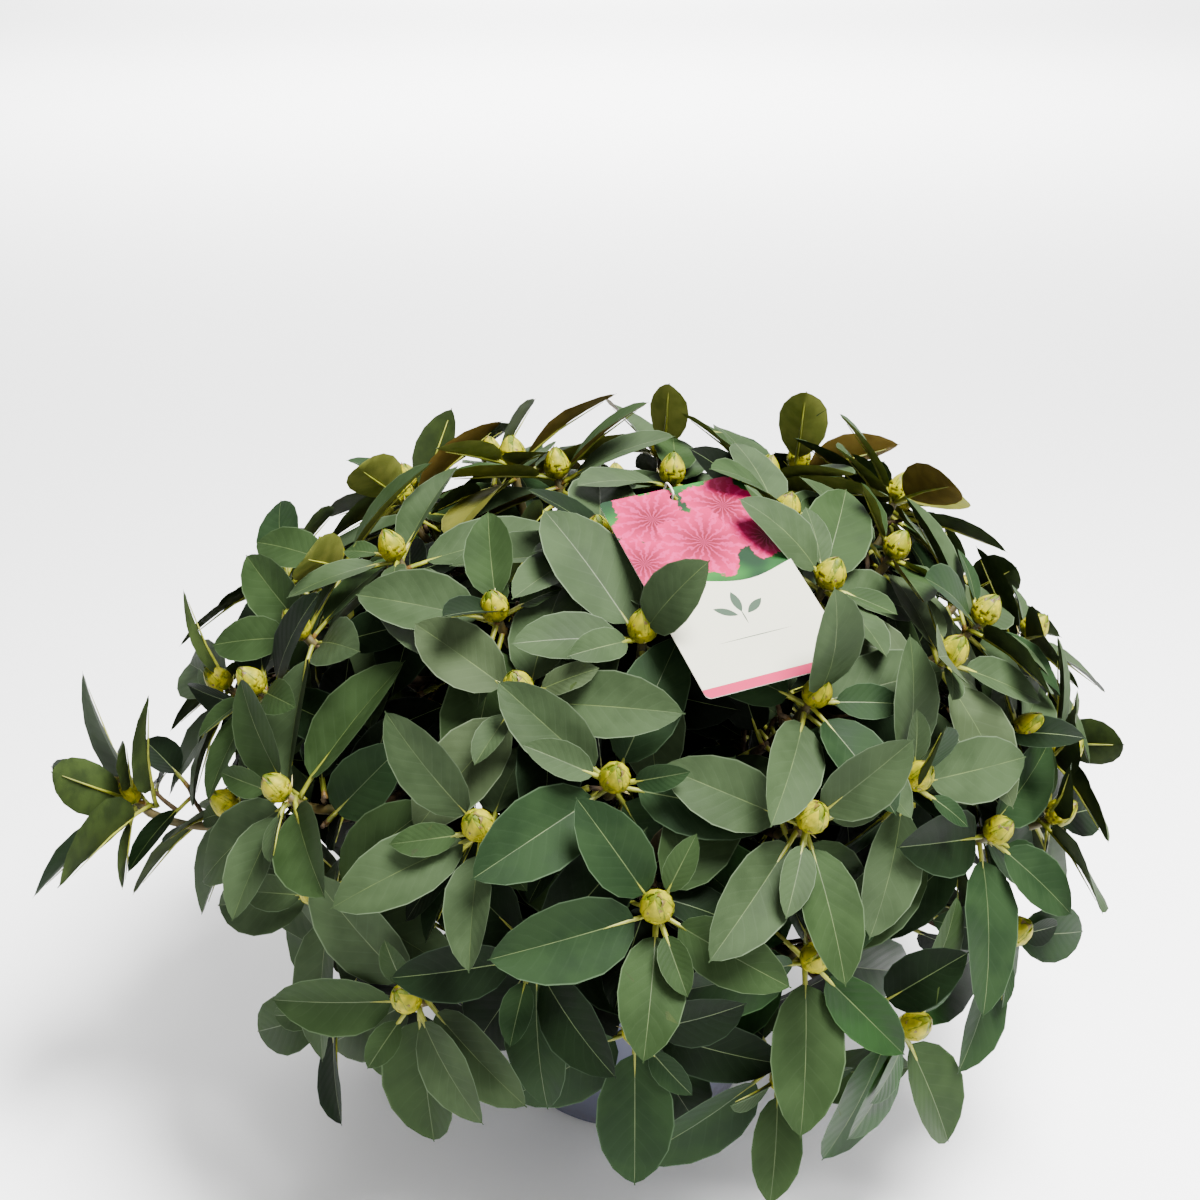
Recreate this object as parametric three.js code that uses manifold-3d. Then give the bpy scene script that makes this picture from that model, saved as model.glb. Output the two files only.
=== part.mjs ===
// A broad-leaved rhododendron shrub in its nursery pot: a low dome of leafy shoots, each ending in a
// plump flower bud, on boughs that leave one short trunk.
//
// Millimetres and degrees, +Z up. The origin is the centre of the pot's flat underside. Azimuth 0 is
// the front of the plant (-Y) and grows towards +X; elevation is measured up from the horizontal.
import * as THREE from 'three';
import { mergeVertices } from 'three/addons/utils/BufferGeometryUtils.js';
import Module from 'manifold-3d';

const wasm = await Module();
wasm.setup();

// ---------------------------------------------------------------- driving dimensions

const CLEARANCE = 0.3; // between solids that meet
const GUARD = 0.5; // how much wider than life a leaf is when it is tried against its neighbours

const POT = {
  height: 205,
  baseRadius: 89,
  topRadius: 115,
  wall: 2.5,
  floor: 3,
  footEdge: 2.5, // the chamfer round the underside
  rimHeight: 16,
  rimWidth: 4,
  rimSlope: 2,
  drainHoles: 4,
  drainRadius: 6,
  drainCircle: 62,
  drainSides: 10,
  sides: 24,
};
const SOIL = { top: 188, gap: 0.9 }; // the gap is to the pot's wall

const TRUNK = {
  footRadius: 15,
  flare: 9, // how far the root flare stands out at the soil
  flareLobes: 5,
  lobeDepth: 0.3,
  flareFall: 7, // how soon the flare dies away upwards
  topRadius: 12,
  height: 108,
  leanX: 8,
  leanY: 4,
  sides: 15,
  rings: 5,
  ringCrowding: 1.5, // how much closer the rings lie at the foot
};

// The dome that the bud tips reach, round a centre on the pot's axis.
const CROWN = {
  centreHeight: 255,
  halfWidth: 345,
  halfDepth: 318,
  rise: 272,
  fall: 260,
  squareness: 2.5, // 2 is an ellipse, more has fuller shoulders
  leafOverhang: 96, // how far leaves stand out past the buds
};

const BOUGH = {
  lowest: 8, // where the lowest and highest boughs leave the trunk, above the soil
  highest: 82,
  lowRise: 20, // degrees above the horizontal at which a level bough and an upright one set out
  topRise: 82,
  rootRadius: 4.6,
  tipRadius: 3.9,
  share: 0.4, // of the way to the dome that a bough reaches before its foliage mass takes over
  setOut: 0.35, // the curve's two inner handles, as shares of the way from root to tip
  runIn: 0.3,
  lift: 0.1, // how strongly its tip turns up
  sides: 4,
  steps: 3,
};
const TWIG = {
  rootRadius: 4,
  tipRadius: 3.3,
  sides: 3,
  steps: 3,
  lift: 0.8, // how strongly a shoot turns up towards the light
  sway: 0.3, // and how far it turns aside by chance
  reachSway: 0.05, // how much the shoots differ in reach, as a share of it
  firstFork: 20, // along the leading twig, from its foot to the first side twig
  forkSpacing: 13,
  setOut: 0.14, // the curve's handles, as shares of the way from foot to bud
  standOff: 0.2,
  runIn: 0.3,
};
const BUD = { length: 27, radius: 10.5, sides: 5, rings: 2, seat: 1.5 };

const LEAF = {
  petiole: 17,
  shortest: 66,
  longest: 97,
  slimmest: 0.46, // width as a share of the blade's length
  widest: 0.54,
  rimRise: 1, // of the solid's rim above the midrib
  keel: 1.6, // how deep the solid's underside falls below it
  fold: 0.16, // how steeply the two halves rise from the midrib
  bend: 30, // degrees that the blade curves back over its length
  innerRise: 34, // degrees above the rosette's plane, for the leaf next to the bud
  outerRise: -8,
  sag: 0.16,
  first: 3.5, // from the end of the twig down to the first leaf's foot
  rootDepth: 1, // how far past the twig's axis its foot is sunk
  nearCorner: 0.28, // where the solid's straight sides start and end, as shares of the blade
  farCorner: 0.74,
  cornerWidth: 0.94, // of the solid at those corners, as a share of the full width
};

// The leaves under each bud. They differ by chance: turn, rise and roll by up to half the degrees given
// here either way, and length likewise as a share of itself.
const ROSETTE = {
  fewest: 6,
  most: 7,
  spacing: 2.1, // between one leaf's foot and the next along the twig
  goldenAngle: 137.5,
  shortened: 3, // how many leaves next to the bud are less than full length
  turnSway: 10,
  riseSway: 10,
  rollSway: 24,
  lengthSway: 0.2,
};
// Last year's leaf, further down each shoot.
const OLD_LEAF = { below: 66, rise: -4, riseSway: 16, rollSway: 20 };

const FIRST_SEED = 1121; // of the first mass, each other mass has the next one

// Air that a leaf keeps from the blades of other shoots and of its own, from twigs and the card, from the
// pot and from the floor.
const AIR = { blade: 3.4, sibling: 1.2, twig: 2, pot: 4, lowest: 105 };

// What a leaf tries before it is left out: changes of rise, each time a little shorter and turned.
const TRIES = { rises: [0, 9, -9, 18, -18, 28, -28, 38], shortening: 0.02, turn: 3 };

// How closely leaves and twigs are looked over when a leaf is tried against them.
const SCAN = { edge: 0.92, bladeSteps: 7, twigSteps: 12, twigStep: 12, ownFoot: 2 };

// Each foliage mass: where its middle lies on the dome, how wide its shoots fan out round that middle,
// where round the fan the first one stands, and how many there are. The straggler on the left also has
// its own reach and lift, a first leaf that points outwards, and leaves that rise more by its cup.
const MASSES = [
  { name: 'front_low', azimuth: -4, elevation: 8, spread: 9.5, turn: 175, shoots: 3 },
  { name: 'back_low', azimuth: 155, elevation: 4, spread: 11, turn: 30, shoots: 3 },
  { name: 'left_low', azimuth: -38, elevation: 1, spread: 10, turn: 0, shoots: 3 },
  { name: 'right_back_low', azimuth: 118, elevation: 4, spread: 12, turn: 45, shoots: 3 },
  {
    name: 'left_far', azimuth: -79, elevation: 7, spread: 0, turn: 0, shoots: 1,
    reach: 1.15, lift: 1.6, cup: 34, leafTurn: 355,
  },
  { name: 'right_low', azimuth: 25, elevation: -3, spread: 10, turn: 110, shoots: 3 },
  { name: 'left_back_low', azimuth: -126, elevation: 3, spread: 12, turn: 20, shoots: 3 },
  { name: 'back_left_low', azimuth: -168, elevation: 4, spread: 11, turn: 90, shoots: 3 },
  { name: 'right_front_low', azimuth: 57, elevation: 8, spread: 9, turn: 135, shoots: 3 },
  { name: 'back_mid', azimuth: 172, elevation: 30, spread: 12, turn: 45, shoots: 3 },
  { name: 'left_side', azimuth: -94, elevation: 24, spread: 10, turn: 100, shoots: 3 },
  { name: 'right_side', azimuth: 86, elevation: 16, spread: 10, turn: 70, shoots: 3 },
  { name: 'front_right_mid', azimuth: 29, elevation: 29, spread: 8.5, turn: 95, shoots: 3 },
  { name: 'left_back_mid', azimuth: -134, elevation: 29, spread: 12, turn: 80, shoots: 3 },
  { name: 'left_front_mid', azimuth: -60, elevation: 20, spread: 9, turn: 0, shoots: 3 },
  { name: 'right_front_mid', azimuth: 62, elevation: 32, spread: 9, turn: 30, shoots: 3 },
  { name: 'front_mid', azimuth: -14, elevation: 31, spread: 9.5, turn: 355, shoots: 3 },
  { name: 'right_back_mid', azimuth: 125, elevation: 31, spread: 12, turn: 0, shoots: 3 },
  { name: 'left_front_high', azimuth: -72, elevation: 44, spread: 9, turn: 60, shoots: 3 },
  { name: 'right_high', azimuth: 60, elevation: 56, spread: 9, turn: 200, shoots: 3 },
  { name: 'left_back_high', azimuth: -130, elevation: 55, spread: 11, turn: 325, shoots: 3 },
  { name: 'right_back_high', azimuth: 120, elevation: 55, spread: 11, turn: 340, shoots: 3 },
  { name: 'front_high', azimuth: -14, elevation: 56, spread: 11, turn: 90, shoots: 3 },
  { name: 'top', azimuth: -178, elevation: 80, spread: 12, turn: 0, shoots: 3 },
];

// ---------------------------------------------------------------- small helpers

const UP = new THREE.Vector3(0, 0, 1);
const CROWN_CENTRE = new THREE.Vector3(0, 0, CROWN.centreHeight);
const radians = THREE.MathUtils.degToRad;
const mix = THREE.MathUtils.lerp;

// One repeatable stream of numbers between 0 and 1 for each seed.
function seeded(seed) {
  let state = (seed * 2654435 + 12345) % 4294967296;
  return () => {
    state = (state * 1664525 + 1013904223) % 4294967296;
    return state / 4294967296;
  };
}

function heading(azimuth, elevation) {
  const a = radians(azimuth);
  const e = radians(elevation);
  return new THREE.Vector3(Math.cos(e) * Math.sin(a), -Math.cos(e) * Math.cos(a), Math.sin(e));
}

// A weighted sum of vectors: sum([v, 2], [w, -1]) is 2v - w.
function sum(...terms) {
  const total = new THREE.Vector3();
  for (const [vector, weight] of terms) total.addScaledVector(vector, weight);
  return total;
}

function crownRadius(direction) {
  const across = Math.hypot(direction.x / CROWN.halfWidth, direction.y / CROWN.halfDepth);
  const upright = Math.abs(direction.z) / (direction.z < 0 ? CROWN.fall : CROWN.rise);
  const power = CROWN.squareness;
  return (across ** power + upright ** power) ** (-1 / power);
}

function solid(geometry) {
  const bare = geometry.clone();
  bare.deleteAttribute('normal');
  bare.deleteAttribute('uv');
  const welded = mergeVertices(bare, 1e-4);
  return new wasm.Manifold(new wasm.Mesh({
    numProp: 3,
    vertProperties: Float32Array.from(welded.attributes.position.array),
    triVerts: Uint32Array.from(welded.index.array),
  }));
}

function geometryOf(body) {
  const mesh = body.getMesh();
  const geometry = new THREE.BufferGeometry();
  geometry.setAttribute('position', new THREE.BufferAttribute(mesh.vertProperties, 3));
  geometry.setIndex(new THREE.BufferAttribute(mesh.triVerts, 1));
  geometry.computeVertexNormals();
  return geometry;
}

function largestPiece(body) {
  const pieces = body.decompose();
  return pieces.reduce((best, piece) => (piece.volume() > best.volume() ? piece : best));
}

// A limb through a row of points: a closed cylinder whose rings are moved onto them, each with its radius.
// Its flat ends are square to the limb, or to the directions given for them.
function limb(points, radii, sides, ends = {}) {
  const last = points.length - 1;
  const geometry = new THREE.CylinderGeometry(1, 1, 1, sides, last);
  const tangents = points.map((_, i) => sum(
    [points[Math.min(i + 1, last)], 1],
    [points[Math.max(i - 1, 0)], -1],
  ).normalize());
  if (ends.foot) tangents[0] = ends.foot;
  if (ends.tip) tangents[last] = ends.tip;
  let normal = new THREE.Vector3().crossVectors(tangents[0], UP);
  const normals = tangents.map((tangent) => {
    normal = sum([normal, 1], [tangent, -normal.dot(tangent)]).normalize();
    return normal;
  });
  const place = geometry.attributes.position;
  for (let i = 0; i < place.count; i += 1) {
    const ring = Math.round((place.getY(i) + 0.5) * last);
    const binormal = new THREE.Vector3().crossVectors(normals[ring], tangents[ring]);
    const point = sum(
      [points[ring], 1],
      [normals[ring], place.getX(i) * radii[ring]],
      [binormal, place.getZ(i) * radii[ring]],
    );
    place.setXYZ(i, point.x, point.y, point.z);
  }
  return solid(geometry);
}

function taper(from, to, steps) {
  return Array.from({ length: steps + 1 }, (_, i) => mix(from, to, i / steps));
}

// ---------------------------------------------------------------- pot, soil and trunk

function potRadius(height) {
  return mix(POT.baseRadius, POT.topRadius, height / POT.height);
}

function turned(profile, sides) {
  const geometry = new THREE.LatheGeometry(profile.map(([r, z]) => new THREE.Vector2(r, z)), sides);
  geometry.rotateX(Math.PI / 2);
  return solid(geometry);
}

function potSolid() {
  const rimFoot = POT.height - POT.rimHeight;
  const shell = turned([
    [0, 0],
    [POT.baseRadius - POT.footEdge, 0],
    [potRadius(POT.footEdge), POT.footEdge],
    [potRadius(rimFoot), rimFoot],
    [potRadius(rimFoot) + POT.rimWidth, rimFoot + POT.rimSlope],
    [POT.topRadius + POT.rimWidth, POT.height],
    [POT.topRadius - POT.wall, POT.height],
    [POT.baseRadius - POT.wall, POT.floor],
    [0, POT.floor],
  ], POT.sides);
  const holes = [];
  for (let i = 0; i < POT.drainHoles; i += 1) {
    const drill = new THREE.CylinderGeometry(POT.drainRadius, POT.drainRadius, POT.floor * 4, POT.drainSides);
    drill.rotateX(Math.PI / 2);
    const turn = (i + 0.5) * 2 * Math.PI / POT.drainHoles;
    drill.translate(POT.drainCircle * Math.cos(turn), POT.drainCircle * Math.sin(turn), 0);
    holes.push(solid(drill));
  }
  return shell.subtract(wasm.Manifold.union(holes));
}

function soilSolid() {
  const inside = (height) => potRadius(height) - POT.wall - SOIL.gap;
  const foot = POT.floor + CLEARANCE;
  return turned([
    [0, foot],
    [inside(foot), foot],
    [inside(SOIL.top), SOIL.top],
    [0, SOIL.top],
  ], POT.sides);
}

const TRUNK_FOOT = SOIL.top + CLEARANCE;

function trunkCentre(height) {
  const share = height / TRUNK.height;
  return new THREE.Vector3(TRUNK.leanX * share, TRUNK.leanY * share, TRUNK_FOOT + height);
}

// The trunk, or a copy that is wider all round by the given margin.
function trunkSolid(margin = 0) {
  const geometry = new THREE.CylinderGeometry(1, 1, 1, TRUNK.sides, TRUNK.rings);
  const place = geometry.attributes.position;
  for (let i = 0; i < place.count; i += 1) {
    const share = (place.getY(i) + 0.5) ** TRUNK.ringCrowding;
    const turn = Math.atan2(place.getZ(i), place.getX(i));
    const onSkin = Math.round(Math.hypot(place.getX(i), place.getZ(i)));
    const lobes = mix(1, Math.cos(TRUNK.flareLobes * turn), TRUNK.lobeDepth);
    const flare = TRUNK.flare * lobes * (1 - share) ** TRUNK.flareFall;
    const radius = onSkin * (mix(TRUNK.footRadius, TRUNK.topRadius, share) + flare + margin);
    const centre = trunkCentre(share * TRUNK.height + Math.floor(share) * margin);
    place.setXYZ(i, centre.x + radius * Math.cos(turn), centre.y - radius * Math.sin(turn), centre.z);
  }
  return solid(geometry);
}

// ---------------------------------------------------------------- the plan of boughs, twigs and shoots

function planBough(mass, rank) {
  const last = MASSES.length - 1;
  const height = rank === last ? TRUNK.height : mix(BOUGH.lowest, BOUGH.highest, rank / (last - 1));
  const out = heading(mass.azimuth, mass.elevation);
  const root = trunkCentre(height);
  const tip = sum([CROWN_CENTRE, 1], [out, crownRadius(out) * BOUGH.share]);
  const length = root.distanceTo(tip);
  const rising = heading(mass.azimuth, mix(BOUGH.lowRise, BOUGH.topRise, mass.elevation / 90));
  const leaving = sum([out, 1], [UP, BOUGH.lift]).normalize();
  const curve = new THREE.CubicBezierCurve3(
    root,
    sum([root, 1], [rising, length * BOUGH.setOut]),
    sum([tip, 1], [leaving, -length * BOUGH.runIn]),
    tip,
  );
  return { tip, leaving, curve };
}

// The directions of a mass's shoots: a ring round the mass's middle.
function shootHeadings(mass) {
  const out = heading(mass.azimuth, mass.elevation);
  const east = heading(mass.azimuth + 90, 0);
  const north = heading(mass.azimuth, mass.elevation + 90);
  const swing = Math.tan(radians(mass.spread));
  return Array.from({ length: mass.shoots }, (_, i) => {
    const turn = radians(mass.turn + i * 360 / mass.shoots);
    return sum([out, 1], [east, swing * Math.cos(turn)], [north, swing * Math.sin(turn)]).normalize();
  });
}

// A twig to its bud, bending up towards the light. The leading twig goes on from its bough, and a side
// twig first stands out from the leader.
function planShoot(mass, direction, start, leaving, random, isSide) {
  const reach = (mass.reach ?? 1) * (1 + TWIG.reachSway * (random() - 0.5));
  const tip = sum([CROWN_CENTRE, 1], [direction, crownRadius(direction) * reach]);
  const sway = new THREE.Vector3(random() - 0.5, random() - 0.5, random() - 0.5);
  const axis = sum([direction, 1], [UP, mass.lift ?? TWIG.lift], [sway, TWIG.sway]).normalize();
  const end = sum([tip, 1], [axis, BUD.seat - BUD.length]);
  const length = start.distanceTo(end);
  const chord = sum([end, 1], [start, -1]);
  const outward = sum([chord, 1], [leaving, -chord.dot(leaving)]).normalize();
  const curve = new THREE.CubicBezierCurve3(
    start,
    sum([start, 1], [leaving, length * TWIG.setOut], [outward, isSide ? length * TWIG.standOff : 0]),
    sum([end, 1], [axis, -length * TWIG.runIn]),
    end,
  );
  return { tip, axis, points: curve.getSpacedPoints(TWIG.steps), leaves: [] };
}

// The point of a twig that lies a way back from its end, with the twig's direction there.
function onTwig(points, back) {
  let left = back;
  for (let i = points.length - 1; i > 0; i -= 1) {
    const step = points[i].distanceTo(points[i - 1]);
    if (left <= step || i === 1) {
      const axis = sum([points[i], 1], [points[i - 1], -1]).normalize();
      return { point: sum([points[i], 1], [axis, -Math.min(left, step)]), axis };
    }
    left -= step;
  }
  return null;
}

// Each mass has one leading twig from its foot, and its other twigs fork off that one.
function plan() {
  return MASSES.map((mass, rank) => {
    const bough = planBough(mass, rank);
    const foot = sum([bough.tip, 1], [bough.leaving, CLEARANCE]);
    const random = seeded(FIRST_SEED + rank);
    const shoots = [];
    for (const [i, direction] of shootHeadings(mass).entries()) {
      const leader = shoots[0]?.points;
      const along = TWIG.firstFork + TWIG.forkSpacing * (i - 1);
      const start = leader ? onTwig([...leader].reverse(), along).point : foot;
      shoots.push(planShoot(mass, direction, start, bough.leaving, random, i > 0));
    }
    shoots[0].footFacing = bough.leaving;
    return { mass, bough, shoots, random };
  });
}

// ---------------------------------------------------------------- leaves

// A leaf lies along an arc that starts at its root: along and up are its directions there, side is
// square to both, and the arc bends back by a fixed angle for each millimetre.
function makeLeaf(shoot, below, turn, rise, blade, width, roll) {
  const { point: root, axis } = onTwig(shoot.points, below);
  const across = new THREE.Vector3().crossVectors(axis, UP).normalize();
  const level = new THREE.Vector3().crossVectors(across, axis);
  const spoke = sum([across, Math.cos(radians(turn))], [level, Math.sin(radians(turn))]);
  const tilt = radians(rise);
  const along = sum([spoke, Math.cos(tilt)], [axis, Math.sin(tilt)], [UP, -LEAF.sag]).normalize();
  const flatSide = new THREE.Vector3().crossVectors(axis, spoke);
  const side = sum([flatSide, 1], [along, -flatSide.dot(along)]).normalize();
  const flatUp = new THREE.Vector3().crossVectors(along, side);
  const lean = radians(roll);
  return {
    shoot,
    root,
    along,
    side: sum([side, Math.cos(lean)], [flatUp, Math.sin(lean)]),
    up: sum([flatUp, Math.cos(lean)], [side, -Math.sin(lean)]),
    blade,
    width,
    total: LEAF.petiole + blade,
    bend: radians(LEAF.bend) / (LEAF.petiole + blade),
  };
}

// The point of a leaf that lies a way along it, a way across it and a way above its surface.
function leafPoint(leaf, far, across, lift = 0) {
  const turn = leaf.bend * far;
  const height = lift + LEAF.fold * Math.abs(across);
  return sum(
    [leaf.root, 1],
    [leaf.along, Math.sin(turn) / leaf.bend + height * Math.sin(turn)],
    [leaf.up, (Math.cos(turn) - 1) / leaf.bend + height * Math.cos(turn)],
    [leaf.side, across],
  );
}

function halfWidth(leaf, far) {
  const share = (far - LEAF.petiole) / leaf.blade;
  return share <= 0 || share >= 1 ? 0 : leaf.width * Math.sqrt(share * (1 - share));
}

// Where a point lies against a leaf: far along, across, and above the folded surface.
function against(leaf, point) {
  const offset = point.clone().sub(leaf.root);
  const x = offset.dot(leaf.along);
  const z = offset.dot(leaf.up) + 1 / leaf.bend;
  const across = offset.dot(leaf.side);
  const above = Math.hypot(x, z) - 1 / leaf.bend - LEAF.fold * Math.abs(across);
  return { far: Math.atan2(x, z) / leaf.bend, across, above };
}

// Three lines of points over a leaf's blade: one edge, the midrib and the other edge.
function leafLines(leaf) {
  return [-SCAN.edge, 0, SCAN.edge].map((edge) => (
    Array.from({ length: SCAN.bladeSteps + 1 }, (_, i) => {
      const far = LEAF.petiole + leaf.blade * i / SCAN.bladeSteps;
      return leafPoint(leaf, far, edge * halfWidth(leaf, far));
    })
  ));
}

// True where one of a line's points, or a step of it, comes too near the blade of a leaf.
function lineMeets(leaf, line, air, skip) {
  let before = null;
  for (const point of line.slice(skip)) {
    const here = against(leaf, point);
    const onBlade = here.far > LEAF.petiole - AIR.twig && here.far < leaf.total + AIR.twig
      && Math.abs(here.across) < halfWidth(leaf, here.far) + AIR.twig;
    if (onBlade && Math.abs(here.above) < air) return true;
    if (before !== null && onBlade && before * here.above < 0) return true;
    before = onBlade ? here.above : null;
  }
  return false;
}

function leavesMeet(one, other) {
  const sameShoot = one.shoot === other.shoot;
  const skip = sameShoot ? SCAN.ownFoot : 0;
  const air = sameShoot ? AIR.sibling : AIR.blade;
  return one.lines.some((line) => lineMeets(other, line, air, skip))
    || other.lines.some((line) => lineMeets(one, line, air, skip));
}

// ---------------------------------------------------------------- the card and its tie

const CARD = {
  width: 104,
  height: 176,
  thickness: 1.2,
  corner: 4,
  centre: new THREE.Vector3(55, -169, 494),
  facing: heading(14, 63),
  turn: 10, // degrees that its top edge swings anticlockwise, seen from its face
  holeRadius: 3,
  holeInset: 9,
};

// The string that holds the card. Its route at the card is given as distances up from the hole and out
// from the card's face.
const TIE = {
  radius: 0.8,
  holder: 'front_high',
  shoot: 0,
  below: 30,
  route: [[1.8, -7], [1.8, -2.5], [1.8, 2.2], [7, 3.4], [13, 1.5], [14.5, -6]],
  sides: 3,
  rings: 30,
};

// The card's own directions: across to its right, up to its top edge, and out of its face.
function cardFrame() {
  const out = CARD.facing;
  const level = new THREE.Vector3().crossVectors(UP, out).normalize();
  const steep = new THREE.Vector3().crossVectors(out, level);
  const turn = radians(CARD.turn);
  return {
    across: sum([level, Math.cos(turn)], [steep, Math.sin(turn)]),
    upward: sum([level, -Math.sin(turn)], [steep, Math.cos(turn)]),
    out,
  };
}
const CARD_FRAME = cardFrame();

function touchesCard(point) {
  const offset = point.clone().sub(CARD.centre);
  return Math.abs(offset.dot(CARD_FRAME.out)) < CARD.thickness + AIR.twig
    && Math.abs(offset.dot(CARD_FRAME.across)) < CARD.width / 2 + AIR.twig
    && Math.abs(offset.dot(CARD_FRAME.upward)) < CARD.height / 2 + AIR.twig;
}

// The string's loop: through the card's hole, over its top edge and round the twig that holds it.
function planTie(branches) {
  const holder = branches.find(({ mass }) => mass.name === TIE.holder).shoots[TIE.shoot];
  const { point: seat, axis } = onTwig(holder.points, TIE.below);
  const { upward, out } = CARD_FRAME;
  const hole = sum([CARD.centre, 1], [upward, CARD.height / 2 - CARD.holeInset]);
  const atCard = TIE.route.map(([up, above]) => sum([hole, 1], [upward, up], [out, above]));
  const pull = sum([seat, 1], [hole, -1]).normalize();
  const sideways = new THREE.Vector3().crossVectors(axis, pull).normalize();
  if (sideways.dot(upward) < 0) sideways.negate();
  const beyond = new THREE.Vector3().crossVectors(sideways, axis).normalize();
  if (beyond.dot(pull) < 0) beyond.negate();
  const round = TWIG.rootRadius + TIE.radius + CLEARANCE;
  const atTwig = [[1, 0], [0.7, 0.7], [0, 1], [-0.7, 0.7], [-1, 0]].map(([across, along]) => (
    sum([seat, 1], [sideways, across * round], [beyond, along * round])
  ));
  return new THREE.CatmullRomCurve3([...atCard, ...atTwig], true, 'centripetal');
}

// ---------------------------------------------------------------- growing the leaves

function leafIsFree(leaf, grown, twigLines) {
  for (const point of leaf.lines.flat()) {
    const radius = Math.hypot(point.x, point.y);
    const inPot = point.z < POT.height + AIR.pot && radius < potRadius(point.z) + POT.rimWidth + AIR.pot;
    const offset = point.clone().sub(CROWN_CENTRE);
    const reach = leaf.reach * crownRadius(offset.clone().normalize()) + CROWN.leafOverhang;
    if (inPot || point.z < AIR.lowest || offset.length() > reach || touchesCard(point)) return false;
  }
  for (const { shoot, line, radius } of twigLines) {
    if (shoot !== leaf.shoot && lineMeets(leaf, line, radius + AIR.twig, 0)) return false;
  }
  const near = (other) => other.root.distanceTo(leaf.root) < other.total + leaf.total;
  return !grown.some((other) => near(other) && leavesMeet(leaf, other));
}

function growLeaf(branch, shoot, wish, grown, twigLines) {
  for (const [attempt, change] of TRIES.rises.entries()) {
    const blade = wish.blade * (1 - TRIES.shortening * attempt);
    const turn = wish.turn + TRIES.turn * attempt * (attempt % 2 ? 1 : -1);
    const leaf = makeLeaf(shoot, wish.below, turn, wish.rise + change, blade, blade * wish.width, wish.roll);
    leaf.lines = leafLines(leaf);
    leaf.reach = branch.mass.reach ?? 1;
    if (leafIsFree(leaf, grown, twigLines)) {
      grown.push(leaf);
      shoot.leaves.push(leaf);
      return;
    }
  }
}

function rosetteWishes(random, mass) {
  const count = ROSETTE.fewest + Math.floor(random() * (ROSETTE.most - ROSETTE.fewest + 1));
  const first = mass.leafTurn ?? 360 * random();
  return Array.from({ length: count }, (_, i) => {
    const growth = Math.min(1, (i + 0.6) / ROSETTE.shortened);
    return {
      below: LEAF.first + ROSETTE.spacing * i,
      turn: first + ROSETTE.goldenAngle * i + ROSETTE.turnSway * (random() - 0.5),
      rise: mix(LEAF.innerRise, LEAF.outerRise, i / (count - 1)) + (mass.cup ?? 0)
        + ROSETTE.riseSway * (random() - 0.5),
      blade: mix(LEAF.shortest, LEAF.longest, growth) * (1 + ROSETTE.lengthSway * (random() - 0.5)),
      width: mix(LEAF.slimmest, LEAF.widest, random()),
      roll: ROSETTE.rollSway * (random() - 0.5),
    };
  });
}

function oldLeafWishes(random) {
  return [{
    below: OLD_LEAF.below,
    turn: 360 * random(),
    rise: OLD_LEAF.rise + OLD_LEAF.riseSway * (random() - 0.5),
    blade: mix(LEAF.shortest, LEAF.longest, random()),
    width: mix(LEAF.slimmest, LEAF.widest, random()),
    roll: OLD_LEAF.rollSway * (random() - 0.5),
  }];
}

// Closely spaced points from a twig's bud down to its foot.
function twigLine(shoot) {
  const line = [shoot.tip, sum([shoot.tip, 1], [shoot.axis, -BUD.length / 2])];
  for (let i = 0; i <= SCAN.twigSteps; i += 1) line.push(onTwig(shoot.points, i * SCAN.twigStep).point);
  return line;
}

function growLeaves(branches, tie) {
  const grown = [];
  const twigLines = branches.flatMap(({ shoots }) => shoots.map((shoot) => ({
    shoot,
    line: twigLine(shoot),
    radius: TWIG.rootRadius,
  })));
  twigLines.push({ shoot: null, line: tie.getSpacedPoints(TIE.rings), radius: TIE.radius });
  for (const makeWishes of [rosetteWishes, oldLeafWishes]) {
    for (const branch of branches) {
      for (const shoot of branch.shoots) {
        const wishes = makeWishes(branch.random, branch.mass);
        for (const wish of wishes) growLeaf(branch, shoot, wish, grown, twigLines);
      }
    }
  }
  return grown;
}

// ---------------------------------------------------------------- solids of twigs, buds and leaves

// The faces of a leaf's solid. Its rim runs from the root (0) up one side (1, 2) to the tip (3) and back
// down the other side (4, 5), and its underside falls to a keel (6) below the midrib.
const LEAF_FACES = [
  [0, 1, 5], [1, 2, 4], [1, 4, 5], [2, 3, 4],
  [1, 0, 6], [2, 1, 6], [3, 2, 6], [4, 3, 6], [5, 4, 6], [0, 5, 6],
];

// A leaf as a thin solid, or a copy that is larger all round by the given margin.
function leafSolid(leaf, margin = 0) {
  const near = LEAF.petiole + leaf.blade * LEAF.nearCorner;
  const far = LEAF.petiole + leaf.blade * LEAF.farCorner;
  const half = leaf.width * LEAF.cornerWidth / 2 + margin;
  const rimLift = LEAF.rimRise + margin - LEAF.fold * half;
  const corners = [
    leafPoint(leaf, -LEAF.rootDepth - margin, 0, margin),
    leafPoint(leaf, near, -half, rimLift),
    leafPoint(leaf, far, -half, rimLift),
    leafPoint(leaf, leaf.total + margin, 0, margin),
    leafPoint(leaf, far, half, rimLift),
    leafPoint(leaf, near, half, rimLift),
    leafPoint(leaf, (near + far) / 2, 0, -LEAF.keel - margin),
  ];
  const geometry = new THREE.BufferGeometry().setFromPoints(corners);
  geometry.setIndex(LEAF_FACES.flat());
  return solid(geometry);
}

function budSolid(shoot) {
  const geometry = new THREE.SphereGeometry(1, BUD.sides, BUD.rings);
  geometry.scale(BUD.radius, BUD.length / 2, BUD.radius);
  geometry.translate(0, -BUD.length / 2, 0);
  geometry.applyQuaternion(new THREE.Quaternion().setFromUnitVectors(new THREE.Vector3(0, 1, 0), shoot.axis));
  geometry.translate(shoot.tip.x, shoot.tip.y, shoot.tip.z);
  return solid(geometry);
}

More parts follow.
